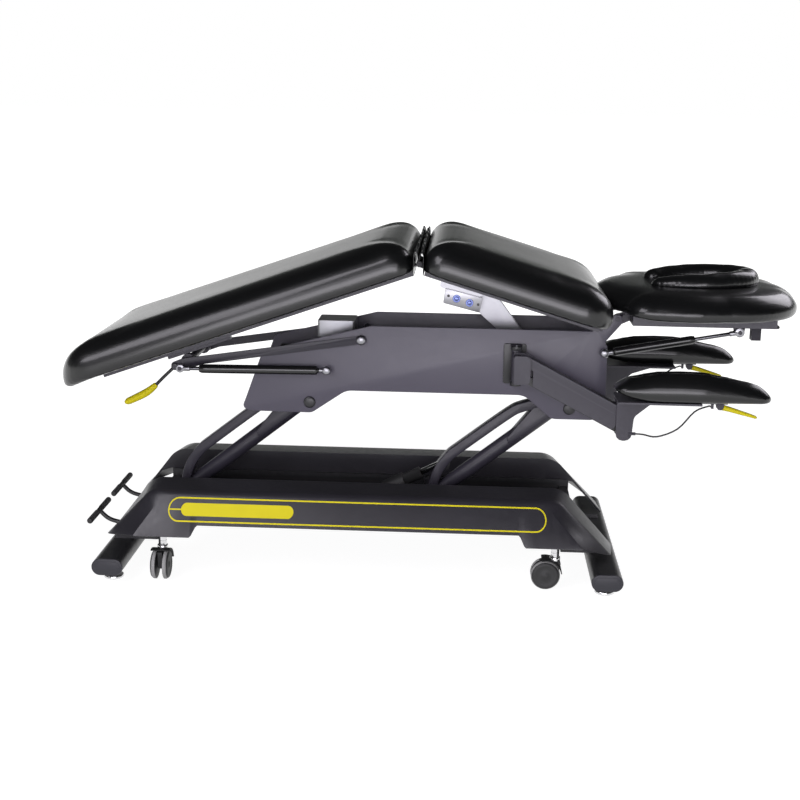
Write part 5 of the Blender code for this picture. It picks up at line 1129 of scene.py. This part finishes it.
def armrestCable(side, sign, look):
    wrist = jointAt["armrest_level_" + side]
    lever = jointAt["armrest_lever_press_" + side]
    gland = wrist.x + 0.030
    stop = lever.x - 0.022
    low = wrist.z - 0.049
    startY = look["cableY"]
    padY = look["padY"]
    radius = look["cable"]
    route = [(gland + radius / 3, startY, low), (gland + 0.020, startY + 0.001, low - 0.001),
             (wrist.x + 0.085, startY + 0.008, low - 0.004), (wrist.x + 0.135, startY + 0.016, low + 0.020),
             (stop - 0.040, padY - 0.004, lever.z - 0.016), (stop - 0.008, padY, lever.z),
             (stop - radius / 2, padY, lever.z)]
    points = smoothLine([Vector((x, sign * y, z)) for x, y, z in route], 25)
    curve = bpy.data.curves.new("release_cable_" + side, "CURVE")
    curve.dimensions = "3D"
    curve.bevel_depth = radius
    curve.bevel_resolution = 4
    curve.use_fill_caps = True
    spline = curve.splines.new("POLY")
    spline.points.add(len(points) - 1)
    for spot, point in zip(spline.points, points):
        spot.co = (*point, 1.0)
    curve.materials.append(rubber)
    made = show("release_cable_" + side, curve)
    length = sum((b - a).length for a, b in zip(points, points[1:]))
    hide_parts("armrest_cable_" + side)
    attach(made, "armrest_bracket_" + side)


for side, sign in bothSides:
    armrestLever(side, armrestLook)
    armrestCable(side, sign, armrestLook)
print("armrests, springs and levers made")


# Cushions

cushionLook = {"half": 0.34, "thick": 0.086, "setback": 0.002, "cap": 0.004, "voxel": 0.009, "settle": 4,
               "lip": 0.005, "lipRun": 0.04, "board": 0.255, "endRun": 0.11, "fall": 0.10,
               "cornerStart": 0.06,
               "side": [(0.075, 0.0, 0.0), (0.045, 0.0, 0.5), (0.026, 0.0, 1.0), (0.010, 0.02, 0.9),
                        (0.003, 0.09, 0.4), (0.0012, 0.20, 0.1), (0.001, 0.32, 0.0), (0.003, 0.45, 0.0),
                        (0.008, 0.60, 0.0), (0.018, 0.75, 0.0), (0.034, 0.88, 0.0), (0.058, 0.96, 0.0),
                        (0.10, 0.99, 0.0), (0.17, 1.0, 0.0)]}
legLook = {**cushionLook, "length": 0.975, "tilt": 19.5, "way": -1, "cornerEnd": 0.095, "droop": 0.015}
midLook = {**cushionLook, "length": 0.512, "tilt": 16.8, "way": 1, "cornerEnd": 0.085, "droop": 0.0}
clothLook = {"pressure": 4.0, "frames": 20, "quality": 4}
foldPoint = jointAt["leg_fold"]


def puff(made, look, flat):
    # Swells a pad as filled fabric. Points that rest on the board, told by flat, stay in place.
    cover = made.modifiers.new("cover", "REMESH")
    cover.mode = "VOXEL"
    cover.voxel_size = look["voxel"]
    graph = bpy.context.evaluated_depsgraph_get()
    even = bpy.data.meshes.new_from_object(made.evaluated_get(graph))
    made.modifiers.clear()
    work = show("puff", even)
    held = work.vertex_groups.new(name="held")
    held.add([v.index for v in even.vertices if flat(v.co)], 1.0, "REPLACE")
    before = [v.co.copy() for v in even.vertices]
    cloth = work.modifiers.new("cloth", "CLOTH")
    cloth.settings.use_pressure = True
    cloth.settings.uniform_pressure_force = clothLook["pressure"]
    cloth.settings.effector_weights.gravity = 0.0
    cloth.settings.vertex_group_mass = "held"
    cloth.settings.quality = clothLook["quality"]
    cloth.point_cache.frame_end = clothLook["frames"]
    scene = bpy.context.scene
    for step in range(1, clothLook["frames"] + 1):
        scene.frame_set(step)
    swollen = bpy.data.meshes.new_from_object(work.evaluated_get(bpy.context.evaluated_depsgraph_get()))
    scene.frame_set(1)
    shifts = [vertex.co - start for vertex, start in zip(swollen.vertices, before)]
    for i, shift in enumerate(shifts):
        if shift.length > look["cap"]:
            shifts[i] = shift.normalized() * look["cap"]
    links = [tuple(edge.vertices) for edge in even.edges]
    # Tight filling: each pass evens out the small creases.
    for turn in range(look["settle"]):
        total = [shift.copy() for shift in shifts]
        count = [1] * len(shifts)
        for a, b in links:
            total[a] += shifts[b]
            total[b] += shifts[a]
            count[a] += 1
            count[b] += 1
        shifts = [t / n for t, n in zip(total, count)]
    for vertex, start, shift in zip(even.vertices, before, shifts):
        vertex.co = start + shift
    bpy.data.objects.remove(work)
    even.materials.clear()
    even.materials.append(made.data.materials[0])
    even.shade_smooth()
    made.data = even
    fine = made.modifiers.new("fine", "SUBSURF")
    fine.levels = 1
    fine.render_levels = 1


def pad(name, rings, look, body, nodes, flat, ringShaped=False):
    made = piece(name, [loft(rings, ringShaped)], vinyl, None, nodes, 80.0)
    puff(made, look, flat)
    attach(made, body)


def longCushion(name, look, body, node):
    tilt = math.radians(look["tilt"])
    run = Vector((look["way"] * math.cos(tilt), 0, -math.sin(tilt)))
    lift = Vector((look["way"] * math.sin(tilt), 0, math.cos(tilt)))
    s0 = look["setback"]
    s1 = look["length"]
    half = look["half"]
    rings = []
    for spot in smoothLine(look["side"], 40):
        inset = spot.x
        start = max(look["cornerStart"] - inset, 0.016)
        end = max(look["cornerEnd"] - inset, 0.016)
        line = boxLine(s0 + inset, s1 - inset, half - inset, start, end, 12)
        ring = []
        for p in line:
            close = max(p.x - s1 + look["endRun"], 0.0) / look["endRun"]
            fall = 1.0 - look["fall"] * close * close
            height = spot.y * look["thick"] * fall - look["droop"] * close * close
            height -= spot.z * look["lip"] * ease((abs(p.y) - look["board"]) / look["lipRun"])
            ring.append(foldPoint + run * p.x + Vector((0, p.y, 0)) + lift * height)
        rings.append(ring)
    pad(name, rings, look, body, [node], lambda co: (co - foldPoint).dot(lift) < 0.004)


longCushion("leg_pad", legLook, "leg_section", "leg_cushion")
longCushion("mid_pad", midLook, "mid_section", "mid_cushion")


def aroundHole(line, centre, count):
    # Reads an outline at even angles about a point inside it.
    polar = []
    for p in line:
        away = p - centre
        polar.append((math.atan2(away.y, away.x), away.length))
    polar.sort()
    polar = [(polar[-1][0] - 2 * math.pi, polar[-1][1])] + polar + [(polar[0][0] + 2 * math.pi, polar[0][1])]
    points = []
    k = 0
    for i in range(count):
        angle = -math.pi + 2 * math.pi * i / count
        while polar[k + 1][0] < angle:
            k += 1
        share = (angle - polar[k][0]) / max(polar[k + 1][0] - polar[k][0], 1e-9)
        radius = polar[k][1] + share * (polar[k + 1][1] - polar[k][1])
        points.append(centre + radius * Vector((math.cos(angle), math.sin(angle))))
    return points


headLook = {"start": 0.004, "end": 0.471, "half": 0.273, "near": 0.07, "far": 0.21, "seat": 0.024,
            "thick": 0.061, "holeX": 0.235, "hole": (0.16, 0.11), "holeRound": 0.05, "clearRun": 0.09,
            "cap": 0.004, "voxel": 0.007, "settle": 30,
            "side": [(0.070, 0.0), (0.040, -0.06), (0.022, -0.08), (0.008, -0.02), (0.002, 0.12),
                     (0.0, 0.30), (0.003, 0.47), (0.010, 0.63), (0.021, 0.78), (0.038, 0.90),
                     (0.062, 0.965)],
            "inner": [(-0.020, 0.97), (-0.006, 0.90), (0.0, 0.72), (0.0, 0.10), (-0.004, 0.0)]}
headHinge = jointAt["head_tilt"]


def headCushion(look):
    count = 120
    centre = Vector((look["holeX"], 0.0))
    plan = boxLine(look["start"], look["end"], look["half"], look["near"], look["far"], 40)
    long, wide = look["hole"]
    hole = boxLine(centre.x - long / 2, centre.x + long / 2, wide / 2, look["holeRound"], look["holeRound"],
                   24)
    outer = aroundHole(plan, centre, count)
    inner = aroundHole(hole, centre, count)
    rows = []
    for inset, height in look["side"]:
        rows.append([(*p, height) for p in insetLine(outer, inset)])
    edge = insetLine(outer, look["side"][-1][0])
    rows.append([(*p.lerp(q, 0.45), 1.0) for p, q in zip(edge, inner)])
    for inset, height in look["inner"]:
        rows.append([(*p, height) for p in insetLine(inner, inset)])
    columns = [smoothLine([row[i] for row in rows], 46) for i in range(count)]
    rings = []
    for k in range(46):
        ring = []
        for column in columns:
            x, y, share = column[k]
            # The edge over the hinge stays clear of the middle frame when the head tilts up.
            share = max(share, 0.12 - 0.22 * within((x - look["start"]) / look["clearRun"]))
            ring.append(headHinge + Vector((x, y, look["seat"] + share * look["thick"])))
        rings.append(ring)
    low = headHinge.z + look["seat"] + 0.008
    pad("head_pad", rings, look, "head_section", ["head_cushion"], lambda co: co.z < low, True)


headCushion(headLook)

faceLook = {"x": 0.205, "radiusX": 0.142, "radiusY": 0.104, "band": 0.072, "height": 0.047, "low": 0.0835,
            "sweep": 142, "pleats": 30, "tuck": 0.0042, "dent": 0.0022, "cap": 0.003, "voxel": 0.004,
            "settle": 1,
            "section": [(-0.38, 0.0), (-0.49, 0.22), (-0.46, 0.58), (-0.33, 0.86), (-0.12, 1.0),
                        (0.12, 1.0), (0.33, 0.86), (0.46, 0.58), (0.49, 0.22), (0.38, 0.0)]}


def faceCushion(look):
    rings = []
    turns = 150
    reach = math.radians(look["sweep"])
    section = smoothLine(look["section"], 34)
    for k in range(turns + 1):
        angle = reach * (2 * k / turns - 1)
        rise = 0.72 + 0.28 * math.cos(angle / 1.6)
        close = abs(angle) / reach
        taper = (1.0 - 0.3 * close ** 4) * min(1.0, 0.35 + 0.65 * math.sqrt(max(1.0 - close, 0.0) / 0.06))
        middle = Vector((look["x"] + look["radiusX"] * math.cos(angle), look["radiusY"] * math.sin(angle)))
        along = Vector((-look["radiusX"] * math.sin(angle), look["radiusY"] * math.cos(angle))).normalized()
        out = Vector((along.y, -along.x))
        ring = []
        for across, height in section:
            # Gathered pleats run down the outer and the inner side and fade on the crown.
            side = max(abs(across) - 0.28, 0.0) / 0.22
            wave = math.sin(look["pleats"] * angle + 2.2 * noise.noise(Vector((angle * 2.0, across, 3.1))))
            tuck = look["tuck"] * side * wave * (0.4 + 0.6 * noise.noise(Vector((angle * 3.0, 0.7, across))))
            dent = look["dent"] * noise.noise(Vector((middle.x * 30, middle.y * 30, across * 2.0)))
            shift = across * look["band"] * taper - math.copysign(abs(tuck), across) * min(taper, 1.0)
            spot = middle + out * shift
            z = look["low"] + height * (look["height"] * rise * taper - 0.002 + dent)
            ring.append(headHinge + Vector((spot.x, spot.y, z)))
        rings.append(ring)
    low = headHinge.z + look["low"] + 0.006
    pad("face_pad", rings, look, "head_section", ["face_cushion"], lambda co: co.z < low)


faceCushion(faceLook)

armPadLook = {"y": 0.255, "start": -0.035, "length": 0.398, "waist": 0.55, "taper": 0.72, "half": 0.049,
              "thick": 0.073, "cap": 0.003, "voxel": 0.005, "settle": 30,
              "crest": [(0.0, 0.62), (0.1, 0.82), (0.25, 0.95), (0.42, 1.0), (0.58, 0.985), (0.72, 0.90),
                        (0.86, 0.73), (1.0, 0.46)],
              "keel": [(0.0, 0.30), (0.1, 0.14), (0.2, 0.03), (0.3, 0.0), (1.0, 0.0)],
              "side": [(0.020, 0.0), (0.007, 0.05), (0.0015, 0.17), (0.0, 0.34), (0.003, 0.52),
                       (0.010, 0.70), (0.020, 0.86), (0.030, 0.95), (0.040, 1.0)]}


def readLine(stops, share):
    for (a, low), (b, high) in zip(stops, stops[1:]):
        if share <= b:
            return low + (high - low) * within((share - a) / (b - a))
    return stops[-1][1]


def finer(line, gap):
    made = []
    for a, b in zip(line, line[1:] + line[:1]):
        count = max(int((b - a).length / gap), 1)
        made += [a.lerp(b, i / count) for i in range(count)]
    return made


def armPad(side, sign, look):
    wrist = jointAt["armrest_level_" + side]
    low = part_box("armrest_pad_" + side)[0].z
    x0 = wrist.x + look["start"]
    x1 = x0 + look["length"]
    waist = x0 + look["waist"] * look["length"]
    half = look["half"]
    tip = half * look["taper"]
    plan = roundedLine([(x0, -half, 0.035), (waist, -half, 0.3), (x1, -tip, 0.034), (x1, tip, 0.034),
                        (waist, half, 0.3), (x0, half, 0.035)], 14)
    plan = finer(plan, 0.008)
    rings = []
    for spot in smoothLine(look["side"], 30):
        ring = []
        for p in insetLine(plan, spot.x):
            share = (p.x - x0) / look["length"]
            keel = readLine(look["keel"], share)
            height = look["thick"] * (keel + spot.y * (readLine(look["crest"], share) - keel))
            ring.append(Vector((p.x, sign * look["y"] + p.y, low + height)))
        rings.append(ring)
    pad("armrest_pad_shape_" + side, rings, look, "armrest_bracket_" + side, ["armrest_pad_" + side],
        lambda co: co.z < low + 0.008)


for side, sign in bothSides:
    armPad(side, sign, armPadLook)


# Loose vinyl in the fold between the leg and middle cushions

flapLook = {"half": 0.322, "wave": 0.0032, "cloth": 0.0011, "flatLength": 0.17, "blendHalf": 0.012,
            "path": [(-0.012, -0.018), (-0.011, 0.020), (-0.010, 0.036), (-0.005, 0.042), (-0.001, 0.030),
                     (0.001, 0.020), (0.004, 0.032), (0.007, 0.042), (0.012, 0.036), (0.013, 0.020),
                     (0.013, -0.018)]}


def foldFlap(look):
    across = 130
    shape = bmesh.new()
    rows = []
    path = smoothLine(look["path"], 44)
    for j, spot in enumerate(path):
        share = j / (len(path) - 1)
        row = []
        for i in range(across + 1):
            y = look["half"] * (2 * i / across - 1)
            crumple = noise.noise(Vector((y * 30, share * 4.0, 1.7)))
            crumple += 0.6 * noise.noise(Vector((y * 80, share * 9, 4.2)))
            loose = math.sin(math.pi * share)
            x = spot.x + look["wave"] * loose * crumple
            z = spot.y * (1.0 + 0.16 * noise.noise(Vector((y * 22, share * 1.5, 9.1))))
            row.append(shape.verts.new(foldPoint + Vector((x, y, z))))
        rows.append(row)
    for low, high in zip(rows, rows[1:]):
        for i in range(across):
            shape.faces.new((low[i], low[i + 1], high[i + 1], high[i]))
    made = piece("fold_flap", [shape], vinyl, None, smooth=80.0)
    wall = made.modifiers.new("wall", "SOLIDIFY")
    wall.thickness = look["cloth"]
    wall.offset = 0.0
    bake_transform(made)


foldFlap(flapLook)
print("cushions made")
